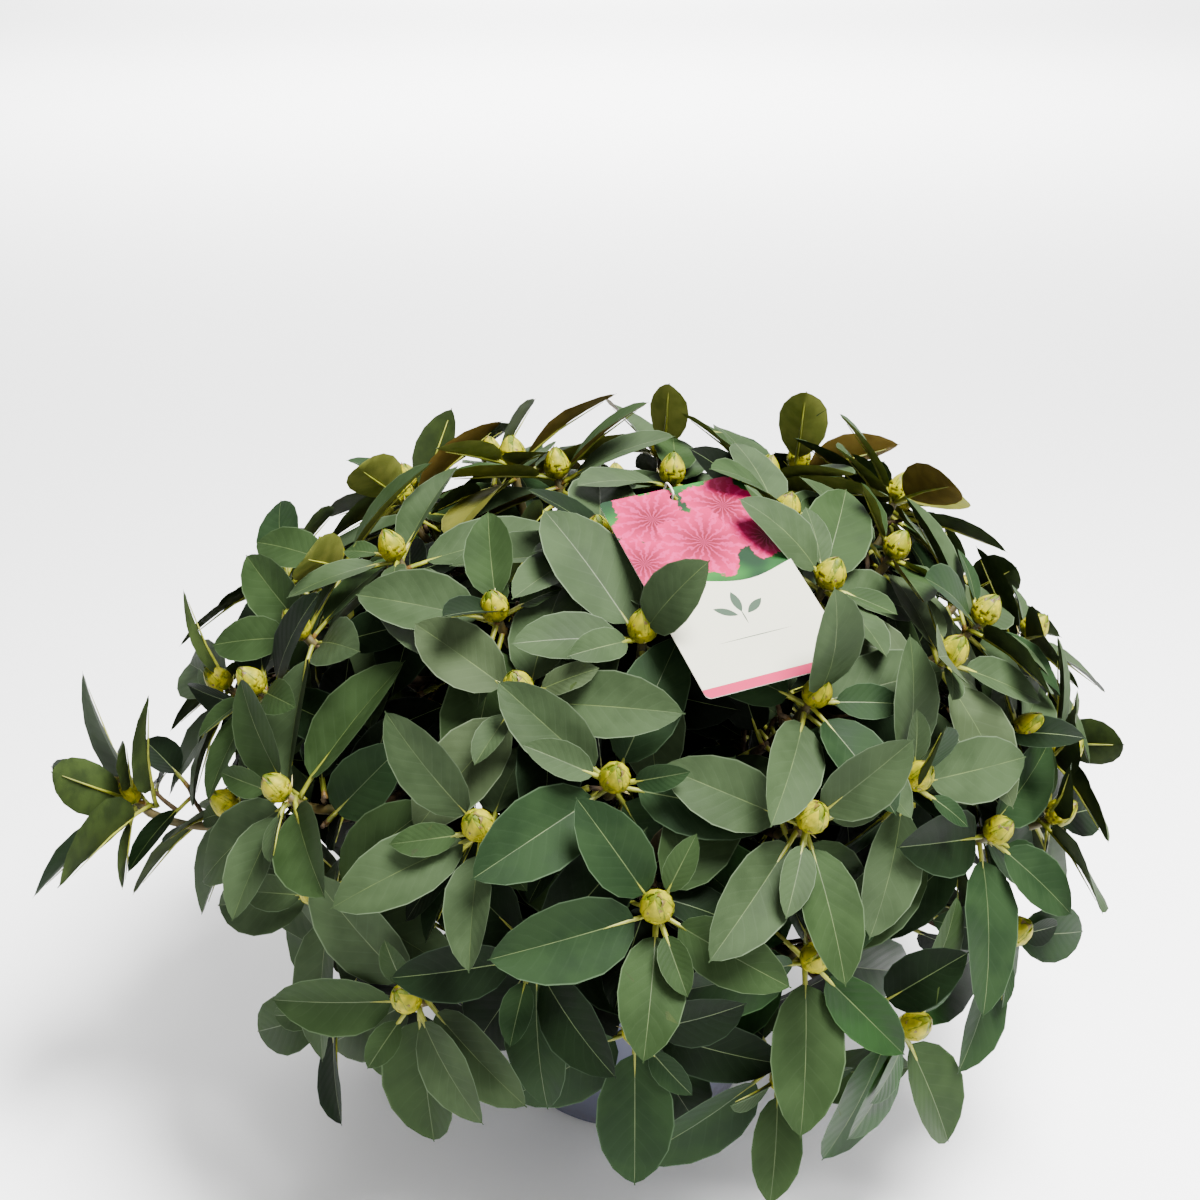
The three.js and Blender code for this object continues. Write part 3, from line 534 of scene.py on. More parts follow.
class Growth:
    """All that has grown so far, and whether another leaf finds room in it."""

    def __init__(self, branches, string):
        self.crowd = Crowd()
        shoots = [shoot for branch in branches for shoot in branch.shoots]
        self.twig_lines = np.array([self.line_of(shoot) for shoot in shoots])
        self.twig_owner = np.array([id(shoot) for shoot in shoots])
        self.string_line = evenly(string, SCAN.string_steps)
        self.bough_lines = np.array([evenly(branch.bough.curve, SCAN.bough_steps) for branch in branches])

    @staticmethod
    def line_of(shoot):
        line = [shoot.tip, shoot.tip - shoot.axis * BUD.length / 2]
        backs = [i * SCAN.twig_step for i in range(SCAN.twig_steps + 1)]
        return line + [on_twig(shoot.points, back)[0] for back in backs]

    @staticmethod
    def in_bounds(points, reach, lowest):
        """True for points within the crown and above the lowest height, and off the pot and the card."""
        in_pot = points[:, 2] < POT.height + AIR.pot
        in_pot &= np.hypot(points[:, 0], points[:, 1]) < pot_radius(points[:, 2]) + POT.rim_width + AIR.pot
        offset = points - CROWN_CENTRE
        limit = reach * crown_radius(unit(offset)) + CROWN.leaf_overhang
        too_far = np.linalg.norm(offset, axis=1) > limit
        return not (in_pot | (points[:, 2] < lowest) | too_far | touches_card(points)).any()

    def meets_wood(self, leaf, alone, inner):
        """True where a leaf meets another shoot's twig or the string. An inner one may meet a bough too."""
        others = self.twig_lines[self.twig_owner != id(leaf.shoot)]
        if blades_meet(alone, others[None], TWIG.root_radius + AIR.twig)[0]:
            return True
        if blades_meet(alone, self.string_line[None, None], STRING.radius + AIR.twig)[0]:
            return True
        return inner and blades_meet(alone, self.bough_lines[None], BOUGH.root_radius + AIR.twig)[0]

    def meets_leaves(self, leaf, alone, fine):
        """True where a leaf comes too near one that has grown. The fine test tries closer points as well."""
        if not self.crowd.leaves:
            return False
        store = self.crowd.arrays()
        near = np.linalg.norm(store["root"] - leaf.root, axis=1) < store["total"] + leaf.total
        if not near.any():
            return False
        blades = {field: values[near] for field, values in store.items()}
        mine = {field: np.broadcast_to(alone[field], blades[field].shape) for field in blades}
        same = blades["shoot"] == id(leaf.shoot)
        skip = np.where(same, SCAN.own_foot, 0)
        air = np.where(same, AIR.sibling, AIR.blade)[:, None, None]
        for one, other in ((blades, mine), (mine, blades)):
            if blades_meet(one, other["lines"], air, skip).any():
                return True
            if fine and blades_meet(one, other["fine"], AIR.sibling).any():
                return True
        return False

    def has_room(self, leaf, reach, inner=False, fine=False):
        lowest = SPUR.lowest if inner else AIR.lowest
        if not self.in_bounds(leaf.lines.reshape(-1, 3), reach, lowest):
            return False
        alone = Crowd(leaf).arrays()
        if self.meets_wood(leaf, alone, inner) or inner and cuts_card(leaf):
            return False
        return not self.meets_leaves(leaf, alone, fine)

    def grow(self, shoot, wish, place, reach, inner=False):
        """Tries a leaf at a few rises, and keeps the first that finds room."""
        for attempt, change in enumerate(TRIES.rises):
            blade = wish.blade * (1 - TRIES.shortening * attempt)
            turn = wish.turn + TRIES.turn * attempt * (1 if attempt % 2 else -1)
            rise = wish.rise + change
            leaf = make_leaf(shoot, *place, turn, rise, blade, blade * wish.width, wish.roll)
            if self.has_room(leaf, reach, inner, fine=inner):
                self.crowd.add(leaf)
                return leaf
        return None


def rosette_wishes(draw, clump):
    count = ROSETTE.fewest + math.floor(draw() * (ROSETTE.most - ROSETTE.fewest + 1))
    first = clump.leaf_turn if clump.leaf_turn is not None else 360 * draw()
    wishes = []
    for i in range(count):
        growth = min(1, (i + ROSETTE.head_start) / ROSETTE.shortened)
        wishes.append(Named(
            below=LEAF.first + ROSETTE.spacing * i,
            turn=first + ROSETTE.golden_angle * i + ROSETTE.turn_sway * (draw() - 0.5),
            rise=mix(LEAF.inner_rise, LEAF.outer_rise, i / (count - 1)) + clump.cup
            + ROSETTE.rise_sway * (draw() - 0.5),
            blade=mix(LEAF.shortest, LEAF.longest, growth) * (1 + ROSETTE.length_sway * (draw() - 0.5)),
            width=mix(LEAF.slimmest, LEAF.widest, draw()),
            roll=ROSETTE.roll_sway * (draw() - 0.5),
        ))
    return wishes


def old_leaf_wishes(draw, clump):
    return [Named(
        below=OLD_LEAF.below,
        turn=360 * draw(),
        rise=OLD_LEAF.rise + OLD_LEAF.rise_sway * (draw() - 0.5),
        blade=mix(LEAF.shortest, LEAF.longest, draw()),
        width=mix(LEAF.slimmest, LEAF.widest, draw()),
        roll=OLD_LEAF.roll_sway * (draw() - 0.5),
    )]


def grow_leaves(branches, growth):
    """The leaves of the solids: every shoot's rosette first, then one old leaf on each."""
    for make_wishes in (rosette_wishes, old_leaf_wishes):
        for branch in branches:
            for shoot in branch.shoots:
                for wish in make_wishes(branch.draw, branch.mass):
                    place = on_twig(shoot.points, wish.below)
                    leaf = growth.grow(shoot, wish, place, branch.mass.reach)
                    if leaf:
                        leaf.old = make_wishes is old_leaf_wishes
                        shoot.leaves.append(leaf)


def grow_young(branches, growth):
    """Small upright leaves close under each bud, each at the first of its rises that finds room."""
    for branch in branches:
        draw = seeded(SEEDS.young, branch.rank)
        at_back = tier_of(branch.mass) == "top" and abs(branch.mass.azimuth) > 90
        young = YOUNG_AT_BACK if at_back else YOUNG
        for shoot in branch.shoots:
            place = on_twig(shoot.points, young.below)
            first = 360 * draw()
            for i in range(young.count):
                turn = first + ROSETTE.golden_angle * i
                blade = mix(*young.blades, draw())
                width = blade * mix(LEAF.slimmest, LEAF.widest, draw())
                roll = ROSETTE.roll_sway * (draw() - 0.5)
                for rise in young.rises:
                    leaf = make_leaf(shoot, *place, turn, rise, blade, width, roll)
                    if growth.has_room(leaf, branch.mass.reach, fine=True):
                        growth.crowd.add(leaf)
                        shoot.leaves.append(leaf)
                        break


def grow_spur(branch, shoot, growth, fork, axis, draw):
    """A finer twig that forks off a limb, with a few older leaves near its end."""
    across = unit(np.cross(axis, UP))
    turn = 2 * math.pi * draw()
    spoke = across * math.cos(turn) + np.cross(across, axis) * math.sin(turn)
    out = unit(spoke + axis * SPUR.forward + UP * SPUR.lift)
    tip = fork + out * SPUR.length * (SPUR.least_length + SPUR.more_length * draw())
    leaves = []
    first = 360 * draw()
    for i in range(SPUR.leaves):
        wish = Named(
            turn=first + ROSETTE.golden_angle * i,
            rise=SPUR.rise + SPUR.rise_sway * (draw() - 0.5),
            blade=SPUR.shorter * mix(LEAF.shortest, LEAF.longest, draw()),
            width=mix(LEAF.slimmest, LEAF.widest, draw()),
            roll=OLD_LEAF.roll_sway * (draw() - 0.5),
        )
        place = tip - out * SPUR.spacing * i, out
        leaf = growth.grow(shoot, wish, place, branch.mass.reach * SPUR.reach, inner=True)
        if leaf:
            leaf.old = True
            leaves.append(leaf)
    if leaves:
        knee = mix(fork, tip, 0.5) + axis * SPUR.knee
        shoot.spurs.append(np.array([fork, knee, tip]))
        shoot.leaves.extend(leaves)


def grow_spurs(branches, growth):
    """Spurs down every shoot first, then along the outer part of every bough."""
    for branch in branches:
        draw = seeded(SEEDS.spurs, branch.rank)
        for shoot in branch.shoots:
            for below in SPUR.below:
                fork, axis = on_twig(shoot.points, below + SPUR.below_sway * (draw() - 0.5))
                grow_spur(branch, shoot, growth, fork, axis, draw)
    for branch in branches:
        draw = seeded(SEEDS.bough_spurs, branch.rank)
        for share in SPUR.along_bough:
            fork, ahead = branch.bough.curve(np.array([share, share + SPUR.probe]))
            grow_spur(branch, branch.shoots[0], growth, fork, unit(ahead - fork), draw)


def leaves_over_card(shoot, draw):
    """Leaves from a shoot's end that would lie over a fair part of the card, the best first."""
    place = on_twig(shoot.points, 0)
    choices = []
    for bend in COVER.bends:
        for rise in COVER.rises:
            for turn in range(0, 360, COVER.turn_step):
                blade = mix(COVER.shortest, COVER.longest, draw())
                leaf = make_leaf(shoot, *place, turn, rise, blade, blade * LEAF.widest, 0, bend)
                covered = over_card(leaf.lines.reshape(-1, 3)).mean()
                if COVER.least <= covered <= COVER.most and not cuts_card(leaf):
                    choices.append((abs(covered - COVER.share), leaf))
    choices.sort(key=lambda choice: choice[0])
    return [leaf for _, leaf in choices]


def grow_over_card(branches, growth):
    """A few leaves of the shoots beside the picture label that arch over its edges."""
    shoots = [(branch, shoot) for branch in branches for shoot in branch.shoots]
    shoots.sort(key=lambda pair: np.linalg.norm(pair[1].tip - CARD.centre))
    for rank, (branch, shoot) in enumerate(shoots):
        if np.linalg.norm(shoot.tip - CARD.centre) > COVER.within:
            break
        grown = 0
        for leaf in leaves_over_card(shoot, seeded(SEEDS.over_card, rank)):
            if grown < COVER.each and growth.has_room(leaf, branch.mass.reach):
                growth.crowd.add(leaf)
                leaf.deeper = 0
                shoot.leaves.append(leaf)
                grown += 1


# ---------------------------------------------------------------- meshes from arrays


class Heap:
    """Corners, faces, the finish of each face and the pattern place of each corner, for one joined mesh."""

    def __init__(self):
        self.corners, self.faces, self.finishes, self.places = [], [], [], []
        self.count = 0

    def add(self, corners, faces, finishes=0, places=None):
        """Adds one shape. Its finishes are one number for all its faces, or one for each."""
        corners = np.asarray(corners, float).reshape(-1, 3)
        self.corners.append(corners)
        self.faces.extend([[i + self.count for i in face] for face in faces])
        self.finishes.extend(finishes if hasattr(finishes, "__len__") else [finishes] * len(faces))
        self.places.append(np.zeros((len(corners), 2)) if places is None else places)
        self.count += len(corners)

    def crease_between(self, mesh, below):
        """Marks the edges sharp where an upper face meets one whose finish is from 'below' on."""
        upper, lower = set(), set()
        for face, finish in zip(self.faces, self.finishes):
            side = lower if finish >= below else upper
            for a, b in zip(face, face[1:] + face[:1]):
                side.add((a, b) if a < b else (b, a))
        rims = upper & lower
        for edge in mesh.edges:
            edge.use_edge_sharp = tuple(sorted(edge.vertices)) in rims

    def build(self, name, materials, smooth=True, crease=None):
        mesh = bpy.data.meshes.new(name)
        mesh.from_pydata((np.concatenate(self.corners) * MM).tolist(), [], self.faces)
        for finish in materials:
            mesh.materials.append(finish)
        mesh.polygons.foreach_set("material_index", self.finishes)
        mesh.polygons.foreach_set("use_smooth", [smooth] * len(mesh.polygons))
        ends = np.zeros(len(mesh.loops), int)
        mesh.loops.foreach_get("vertex_index", ends)
        pattern = mesh.uv_layers.new(name="pattern")
        pattern.data.foreach_set("uv", np.concatenate(self.places)[ends].ravel())
        if crease is not None:
            self.crease_between(mesh, crease)
        mesh.validate()
        mesh.update()
        made = bpy.data.objects.new(name, mesh)
        bpy.context.collection.objects.link(made)
        return made


def ring_faces(count, sides, closed=False):
    """Faces between rings of corners, with a cap at each end unless the last ring joins the first."""
    faces = []
    for k in range(count if closed else count - 1):
        here, ahead = k * sides, (k + 1) % count * sides
        for i in range(sides):
            j = (i + 1) % sides
            faces.append([here + i, here + j, ahead + j, ahead + i])
    if not closed:
        faces.append(list(range(sides))[::-1])
        faces.append([(count - 1) * sides + i for i in range(sides)])
    return faces


def tube(points, radii, sides, closed=False):
    """Corners and faces of a round limb along a row of points."""
    points = np.asarray(points)
    if closed:
        tangents = unit(np.roll(points, -1, axis=0) - np.roll(points, 1, axis=0))
    else:
        tangents = unit(np.gradient(points, axis=0))
    is_upright = abs(tangents[0][2]) >= 0.95
    normal = np.cross(tangents[0], vec(1, 0, 0) if is_upright else UP)
    rings = []
    turn = np.arange(sides) * 2 * math.pi / sides
    for point, tangent, radius in zip(points, tangents, np.broadcast_to(radii, len(points))):
        normal = unit(normal - tangent * normal.dot(tangent))
        binormal = np.cross(tangent, normal)
        rings.append(point + radius * (np.cos(turn)[:, None] * normal + np.sin(turn)[:, None] * binormal))
    return np.concatenate(rings), ring_faces(len(points), sides, closed)


# ---------------------------------------------------------------- leaves

# The finishes of a leaf, by number: nine greens of its upper side, then its other parts. The deep and shade
# greens and the dark green underside are painted shade; the olive and, in part, the pale underside are
# painted light shining through the leaf.
LEAF_FINISHES = (
    "leaf_sage", "leaf_grey_green", "leaf_mid_green", "leaf_blue_green", "leaf_deep_green",
    "leaf_shade_green", "leaf_fresh_green", "leaf_olive", "leaf_bronze",
    "leaf_midrib", "leaf_underside", "leaf_underside_green", "leaf_underside_tan",
    "leaf_stalk", "leaf_stalk_foot",
)
SAGE, GREY, MID, BLUE, DEEP_SHADE, SHADE, FRESH, OLIVE_BACKLIT, BRONZE = range(9)
MIDRIB, UNDER, UNDER_SHADE, UNDER_TAN, STALK, STALK_FOOT = range(9, 15)

# Places across the blade, from edge to edge; two columns stand at each side of the midrib.
BLADE_COLUMNS = np.array([-1.0, -0.55, 0.0, 0.0, 0.55, 1.0])
RIB_SIDES = np.array([0, -1, -1, 1, 1, 0])
RIB_STRIP = 2


def outline(share):
    """Half the blade's width along it, as a share of its widest: tapered to its base, blunt with a point."""
    body = np.clip(share / (1 - BLADE.point), 0, 1)
    a, b = BLADE.base_power, BLADE.tip_power
    widest = a / (a + b)
    return body**a * (1 - body) ** b / (widest**a * (1 - widest) ** b)


def blade_shares():
    """Stations along the blade, closer together at its ends, the last two at its short point."""
    body = (1 - np.cos(math.pi * np.linspace(0, 1, BLADE.rows))) / 2
    return np.append(body[:-1] * (1 - BLADE.point), [1 - BLADE.point * BLADE.point_start, 1])


def blade_faces(rows, tone, under):
    """Faces and finishes of a blade of rows of upper corners, with one lower corner to each row."""
    wide = len(BLADE_COLUMNS)
    low = (rows + 1) * wide
    faces, finishes = [], []
    for k in range(rows):
        a, b, c = k * wide, (k + 1) * wide, low + k
        for j in range(wide - 1):
            faces.append([a + j, b + j, b + j + 1, a + j + 1])
            finishes.append(MIDRIB if j == RIB_STRIP else tone)
        faces += [[a, c, c + 1, b], [c, a + wide - 1, b + wide - 1, c + 1]]
        finishes += [under] * 2
    faces.append(list(range(wide)) + [low])
    faces.append([rows * wide + j for j in reversed(range(wide))] + [low + rows])
    return faces, finishes + [under] * 2


def add_leaf(heap, leaf, tone, under, draw):
    """One leaf: a closed blade with a pale midrib strip, and its stalk, which runs on under the blade."""
    share = blade_shares()
    half = outline(share) * leaf.width / 2 * BLADE.wider
    half = np.maximum(half, mix(BLADE.base_half, BLADE.tip_half, share))
    half[-1] = BLADE.tip_half
    share, half = share[:, None], half[:, None]
    slim = np.minimum(1, half / BLADE.slim_below)
    rib = BLADE.midrib * mix(1, BLADE.midrib_end, share) * slim
    across = half * BLADE_COLUMNS + rib * RIB_SIDES
    far = LEAF.petiole + leaf.blade * share
    wave = BLADE.ripple * (2 * draw() - 1) ** 3
    phase = 2 * math.pi * draw()
    twist = BLADE.twist * (draw() - 0.5)
    deeper = leaf.deeper * draw() ** 1.5

    def height(a):
        edge = (np.abs(a) / half) ** 2
        along = np.sin(BLADE.waves * share + phase + BLADE.wave_shift * np.sign(a))
        ripple = wave * edge * along * np.sin(math.pi * share)
        fold = deeper * (np.abs(a) - half * BLADE.fold_line)
        return ripple - BLADE.curl * half * edge + fold + twist * a * share

    top = leaf_point(leaf, far, across, height(across))
    middle = np.zeros_like(share)
    depth = (BLADE.thickness + BLADE.rib * (1 - share)) * slim
    below = leaf_point(leaf, far, middle, height(middle) - depth)
    faces, finishes = blade_faces(len(share) - 1, tone, under)
    places = np.concatenate([
        np.stack(np.broadcast_arrays(share, BLADE_COLUMNS / 2 + 0.5), -1).reshape(-1, 2),
        np.stack([share, middle + 0.5], -1).reshape(-1, 2),
    ])
    heap.add(np.concatenate([top.reshape(-1, 3), below.reshape(-1, 3)]), faces, finishes, places)
    way = PETIOLE.from_root + PETIOLE.along_blade * leaf.blade
    sunk = -PETIOLE.sunk - PETIOLE.in_fold * deeper * leaf.width / 2
    stalk = leaf_point(leaf, way, way * 0, sunk)
    corners, faces = tube(stalk, PETIOLE.taper * PETIOLE.foot_radius, PETIOLE.sides)
    is_brown = draw() < PETIOLE.brown_share
    foot = STALK_FOOT if is_brown else STALK
    heap.add(corners, faces, [foot if max(face) < 2 * PETIOLE.sides else STALK for face in faces])


# ---------------------------------------------------------------- buds

BUD_FINISHES = ("bud_scale", "bud_scale_green", "bud_scale_tip", "dry_bract")
BUD_FLESH, BUD_GREEN_SHADE, BUD_POINT, DRY_BRACT = range(4)


def bud_surface(share, turn, lift):
    """Places on the bud, a share along it and a turn round it, lifted off its egg-shaped core."""
    a, b, widest = BUD_EGG.foot_power, BUD_EGG.tip_power, BUD_EGG.widest
    inside = np.clip(share, BUD_EGG.end, 1 - BUD_EGG.end)
    egg = inside**a * (1 - inside) ** b / (widest**a * (1 - widest) ** b)
    radius = egg * (BUD.radius - BUD_CORE.inset) + lift
    return np.stack([radius * np.cos(turn), radius * np.sin(turn), share * BUD.length], -1)


def scale_faces(rows, wide, is_tipped):
    """Faces and finishes of one scale: an outer and an inner grid of corners, with a rim between them."""
    back = rows * wide
    faces, finishes = [], []
    for k in range(rows - 1):
        for j in range(wide - 1):
            p, q = k * wide + j, (k + 1) * wide + j
            faces.append([p, p + 1, q + 1, q])
            faces.append([back + p, back + q, back + q + 1, back + p + 1])
            at_tip = is_tipped and k == rows - 2
            at_edge = j in (0, wide - 2)
            # Edge columns take a darker green, partly the scales' own colour and partly painted shade in the
            # crevices between scales; so do the inner sides, rims and core.
            finishes += [BUD_POINT if at_tip else BUD_GREEN_SHADE if at_edge else BUD_FLESH, BUD_GREEN_SHADE]
    rim = (list(range(wide)) + [k * wide + wide - 1 for k in range(1, rows)]
           + [(rows - 1) * wide + j for j in reversed(range(wide - 1))]
           + [k * wide for k in reversed(range(1, rows - 1))])
    for p, q in zip(rim, rim[1:] + rim[:1]):
        faces.append([q, p, back + p, back + q])
        finishes.append(BUD_GREEN_SHADE)
    return faces, finishes


def bud_pattern():
    """One bud along +Z: a core wrapped in overlapping scales. Corners, faces, finishes."""
    turn = np.arange(BUD_CORE.sides) * 2 * math.pi / BUD_CORE.sides
    shares = np.linspace(BUD_CORE.first, BUD_CORE.last, BUD_CORE.rings)
    corners = [bud_surface(np.full(BUD_CORE.sides, share), turn, -BUD_CORE.sunk) for share in shares]
    faces = ring_faces(BUD_CORE.rings, BUD_CORE.sides)
    finishes = [BUD_GREEN_SHADE] * len(faces)
    count = BUD_CORE.rings * BUD_CORE.sides
    s = np.linspace(0, 1, SCALE.rows)[:, None]
    a = np.linspace(-1, 1, SCALE.wide)[None, :]
    narrow = np.sqrt(1 - SCALE.narrowing * s**SCALE.narrowing_power)
    thin = 1 - SCALE.thinning * s
    for n in range(SCALE.count):
        level = n / (SCALE.count - 1)
        start = mix(SCALE.first, SCALE.last, level**SCALE.crowding)
        end = min(start + SCALE.length * mix(SCALE.first_length, 1, level), 1)
        share = mix(start, end, s) - SCALE.arch * a**2 * s
        spread = math.radians(SCALE.spread) * narrow * mix(1, SCALE.last_spread, level)
        turn = math.radians(ROSETTE.golden_angle * n) + spread * a
        outer = SCALE.lift * thin + SCALE.crown * (1 - a**2) * (1 - s**2) + SCALE.flare * s**3 * (1 - level)
        for lift in (outer, outer - SCALE.depth * thin):
            corners.append(bud_surface(share, turn, lift).reshape(-1, 3))
        own_faces, own_finishes = scale_faces(SCALE.rows, SCALE.wide, n % 3 == 1)
        faces += [[count + i for i in face] for face in own_faces]
        finishes += own_finishes
        count += 2 * SCALE.rows * SCALE.wide
    return np.concatenate(corners), faces, finishes


def facing(axis, turn):
    """Three directions, the last one along the axis."""
    side = unit(np.cross(axis, vec(0.3, 0.9, 0.1)))
    other = np.cross(axis, side)
    return np.stack([side * math.cos(turn) + other * math.sin(turn),
                     other * math.cos(turn) - side * math.sin(turn), axis])


def add_bud(heap, pattern, shoot, draw):
    """A bud at a shoot's tip, with dry bracts round its foot."""
    corners, faces, finishes = pattern
    size = BUD_SWAY.slimmest + BUD_SWAY.wider * draw()
    shaped = corners * vec(size, size, mix(BUD_SWAY.shortest, 1, draw()))
    shaped[:, 2] += BUD.length - shaped[:, 2].max()
    base = shoot.tip - shoot.axis * BUD.length
    heap.add(base + shaped @ facing(shoot.axis, 2 * math.pi * draw()), faces, finishes)
    for _ in range(BRACT.count):
        spoke = facing(shoot.axis, 2 * math.pi * draw())[0]
        foot = base + shoot.axis * BRACT.foot + spoke * TWIG.tip_radius * BRACT.inset
        length = mix(BRACT.shortest, BRACT.longest, draw())
        out = unit(spoke + shoot.axis * (BRACT.least_rise + BRACT.more_rise * draw()))
        end = foot + out * length + shoot.axis * length * BRACT.upturn
        line = np.array([foot, foot + out * length * 0.5, end])
        heap.add(*tube(line, BRACT.radii, BRACT.sides), DRY_BRACT)


# ---------------------------------------------------------------- twigs and wood


def add_twigs(heap, branches):
    """Every shoot's twig, with a swelling here and there, and its spurs. Its outer end is younger wood."""
    thickest, thinnest = TWIG.root_radius - TWIG_SKIN.root_thinner, TWIG.tip_radius - TWIG_SKIN.tip_thinner
    rings = TWIG_SKIN.steps + 1
    for branch in branches:
        draw = seeded(SEEDS.twigs, branch.rank)
        for shoot in branch.shoots:
            points = evenly(shoot.curve, TWIG_SKIN.steps)
            points[-1] = points[-1] + shoot.axis * TWIG_SKIN.into_bud
            radii = mix(thickest, thinnest, np.linspace(0, 1, rings))
            knobs = 1 + TWIG_SKIN.knobs * np.array([draw() - TWIG_SKIN.knob_middle for _ in range(rings)])
            corners, faces = tube(points, radii * knobs, TWIG_SKIN.sides)
            young = [int(face[0] // TWIG_SKIN.sides > TWIG_SKIN.last_old_ring) for face in faces]
            heap.add(corners, faces, young)
            for spur in shoot.spurs:
                heap.add(*tube(spur, np.array(SPUR.taper) * SPUR.root_radius, SPUR.sides))


def add_trunk(heap):
    """The trunk, leaning and tapering, with a lobed root flare that sits on the soil."""
    share = np.linspace(0, 1, WOOD.trunk_rings) ** WOOD.ring_crowding
    centres = np.array([trunk_centre(s * TRUNK.height) for s in share])
    corners, faces = tube(centres, TRUNK.foot_radius, WOOD.trunk_sides)
    share, centres = share[:, None], centres[:, None]
    spoke = corners.reshape(-1, WOOD.trunk_sides, 3) - centres
    turn = np.arctan2(spoke[..., 1], spoke[..., 0])
    lobes = mix(1, np.cos(TRUNK.flare_lobes * turn), TRUNK.lobe_depth)
    flare = TRUNK.flare * lobes * (1 - share) ** TRUNK.flare_fall
    radius = mix(TRUNK.foot_radius, TRUNK.top_radius, share) + flare
    rings = centres + unit(spoke) * radius[..., None]
    rings[0, :, 2] = SOIL.top + CLEARANCE
    heap.add(rings.reshape(-1, 3), faces)


def make_wood(branches):
    """Trunk and boughs in one skin: limbs joined by a remesh, then given the relief of bark."""
    heap = Heap()
    add_trunk(heap)
    radii = np.linspace(BOUGH.root_radius + WOOD.root_swell, BOUGH.tip_radius, WOOD.bough_steps + 1)
    for branch in branches:
        heap.add(*tube(evenly(branch.bough.curve, WOOD.bough_steps), radii, WOOD.bough_sides))
    wood = heap.build("trunk_and_boughs", finishes("fissured_bark"))
    only(wood)
    skin = wood.modifiers.new("one skin", "REMESH")
    skin.mode = "VOXEL"
    skin.voxel_size = WOOD.skin_voxel * MM
    skin.use_smooth_shade = True
    bpy.ops.object.modifier_apply(modifier=skin.name)
    fissures = bpy.data.textures.new("bark fissures", "MUSGRAVE")
    fissures.noise_scale = WOOD.fissure_size * MM
    raise_by(wood, fissures, WOOD.relief, mid_level=WOOD.relief_middle)
    return wood


# ---------------------------------------------------------------- hand-shaped pieces


def only(*chosen):
    """Selects these objects and no others, the first one active."""
    if bpy.context.object and bpy.context.object.mode != "OBJECT":
        bpy.ops.object.mode_set(mode="OBJECT")
    bpy.ops.object.select_all(action="DESELECT")
    for item in chosen:
        item.select_set(True)
    bpy.context.view_layer.objects.active = chosen[0]


def fresh(add, name, place=(0, 0, 0), **options):
    """A new plain shape at a place in millimetres, and the only one selected."""
    bpy.ops.object.select_all(action="DESELECT")
    add(location=tuple(c * MM for c in place), **options)
    made = bpy.context.object
    made.name = made.data.name = name
    return made


def drill(place, radius, sides):
    """A round cutter along Z."""
    made = fresh(bpy.ops.mesh.primitive_cylinder_add, "drill", place,
                 vertices=sides, radius=radius * MM, depth=DRILL_LENGTH * MM)
    bpy.ops.object.transform_apply(location=True, rotation=True, scale=True)
    return made


def cut(piece, drills):
    """Cuts drills out of a piece, and removes them."""
    only(*drills)
    if len(drills) > 1:
        bpy.ops.object.join()
    only(piece)
    hole = piece.modifiers.new("holes", "BOOLEAN")
    hole.operation = "DIFFERENCE"
    hole.solver = "EXACT"
    hole.object = drills[0]
    bpy.ops.object.modifier_apply(modifier=hole.name)
    bpy.data.objects.remove(drills[0])


def raise_by(piece, texture, height, **settings):
    """Moves a piece's surface by a texture, up to a height in millimetres."""
    only(piece)
    relief = piece.modifiers.new("relief", "DISPLACE")
    relief.texture = texture
    relief.texture_coords = "LOCAL"
    relief.strength = height * MM
    for key, value in settings.items():
        setattr(relief, key, value)
    bpy.ops.object.modifier_apply(modifier=relief.name)


def turned(name, profile, steps):
    """A closed form: a profile of (radius, height) in millimetres, drawn by extrusion and spun round +Z."""
    made = fresh(bpy.ops.mesh.primitive_plane_add, name, size=0.01)
    bpy.ops.object.mode_set(mode="EDIT")
    bpy.ops.mesh.merge(type="CENTER")
    here = vec(0, 0, 0)
    for rank, (radius, height) in enumerate(profile):
        there = vec(radius, 0, height) * MM
        if rank == 0:
            bpy.ops.transform.translate(value=tuple(there - here))
        else:
            bpy.ops.mesh.extrude_vertices_move(TRANSFORM_OT_translate={"value": tuple(there - here)})
        here = there
    bpy.ops.mesh.select_all(action="SELECT")
    bpy.ops.mesh.spin(steps=steps, angle=2 * math.pi, center=(0, 0, 0), axis=(0, 0, 1))
    bpy.ops.mesh.select_all(action="SELECT")
    bpy.ops.mesh.remove_doubles(threshold=0.05 * MM)
    bpy.ops.mesh.normals_make_consistent(inside=False)
    bpy.ops.object.mode_set(mode="OBJECT")
    bpy.ops.object.shade_smooth_by_angle(angle=math.radians(35))
    return made


def pot_profile():
    """Half the pot's section: up the outside from the middle of its base, over the rim and down inside."""
    skin = POT_SKIN
    rim_foot = POT.height - POT.rim_height
    rim_radius = POT.top_radius + POT.rim_width
    return [
        (0, skin.base_lift),
        (POT.base_radius - skin.ring_inner, skin.base_lift),
        (POT.base_radius - skin.ring_outer, 0),
        (POT.base_radius - POT.foot_edge, 0),
        (pot_radius(POT.foot_edge), POT.foot_edge),
        (pot_radius(skin.step_height), skin.step_height),
        (pot_radius(skin.step_height + 1) + skin.step, skin.step_height + skin.step_rise),
        (pot_radius(rim_foot), rim_foot),
        (pot_radius(rim_foot) + POT.rim_width - skin.rim_draft, rim_foot + skin.rim_rise),
        (rim_radius - skin.lip, POT.height - skin.lip_height),
        (rim_radius, POT.height - skin.lip_edge),
        (rim_radius, POT.height),
        (POT.top_radius - POT.wall, POT.height),
        (pot_radius(rim_foot) - POT.wall, rim_foot - 1),
        (POT.base_radius - POT.wall, POT.floor),
        (0, POT.floor),
    ]


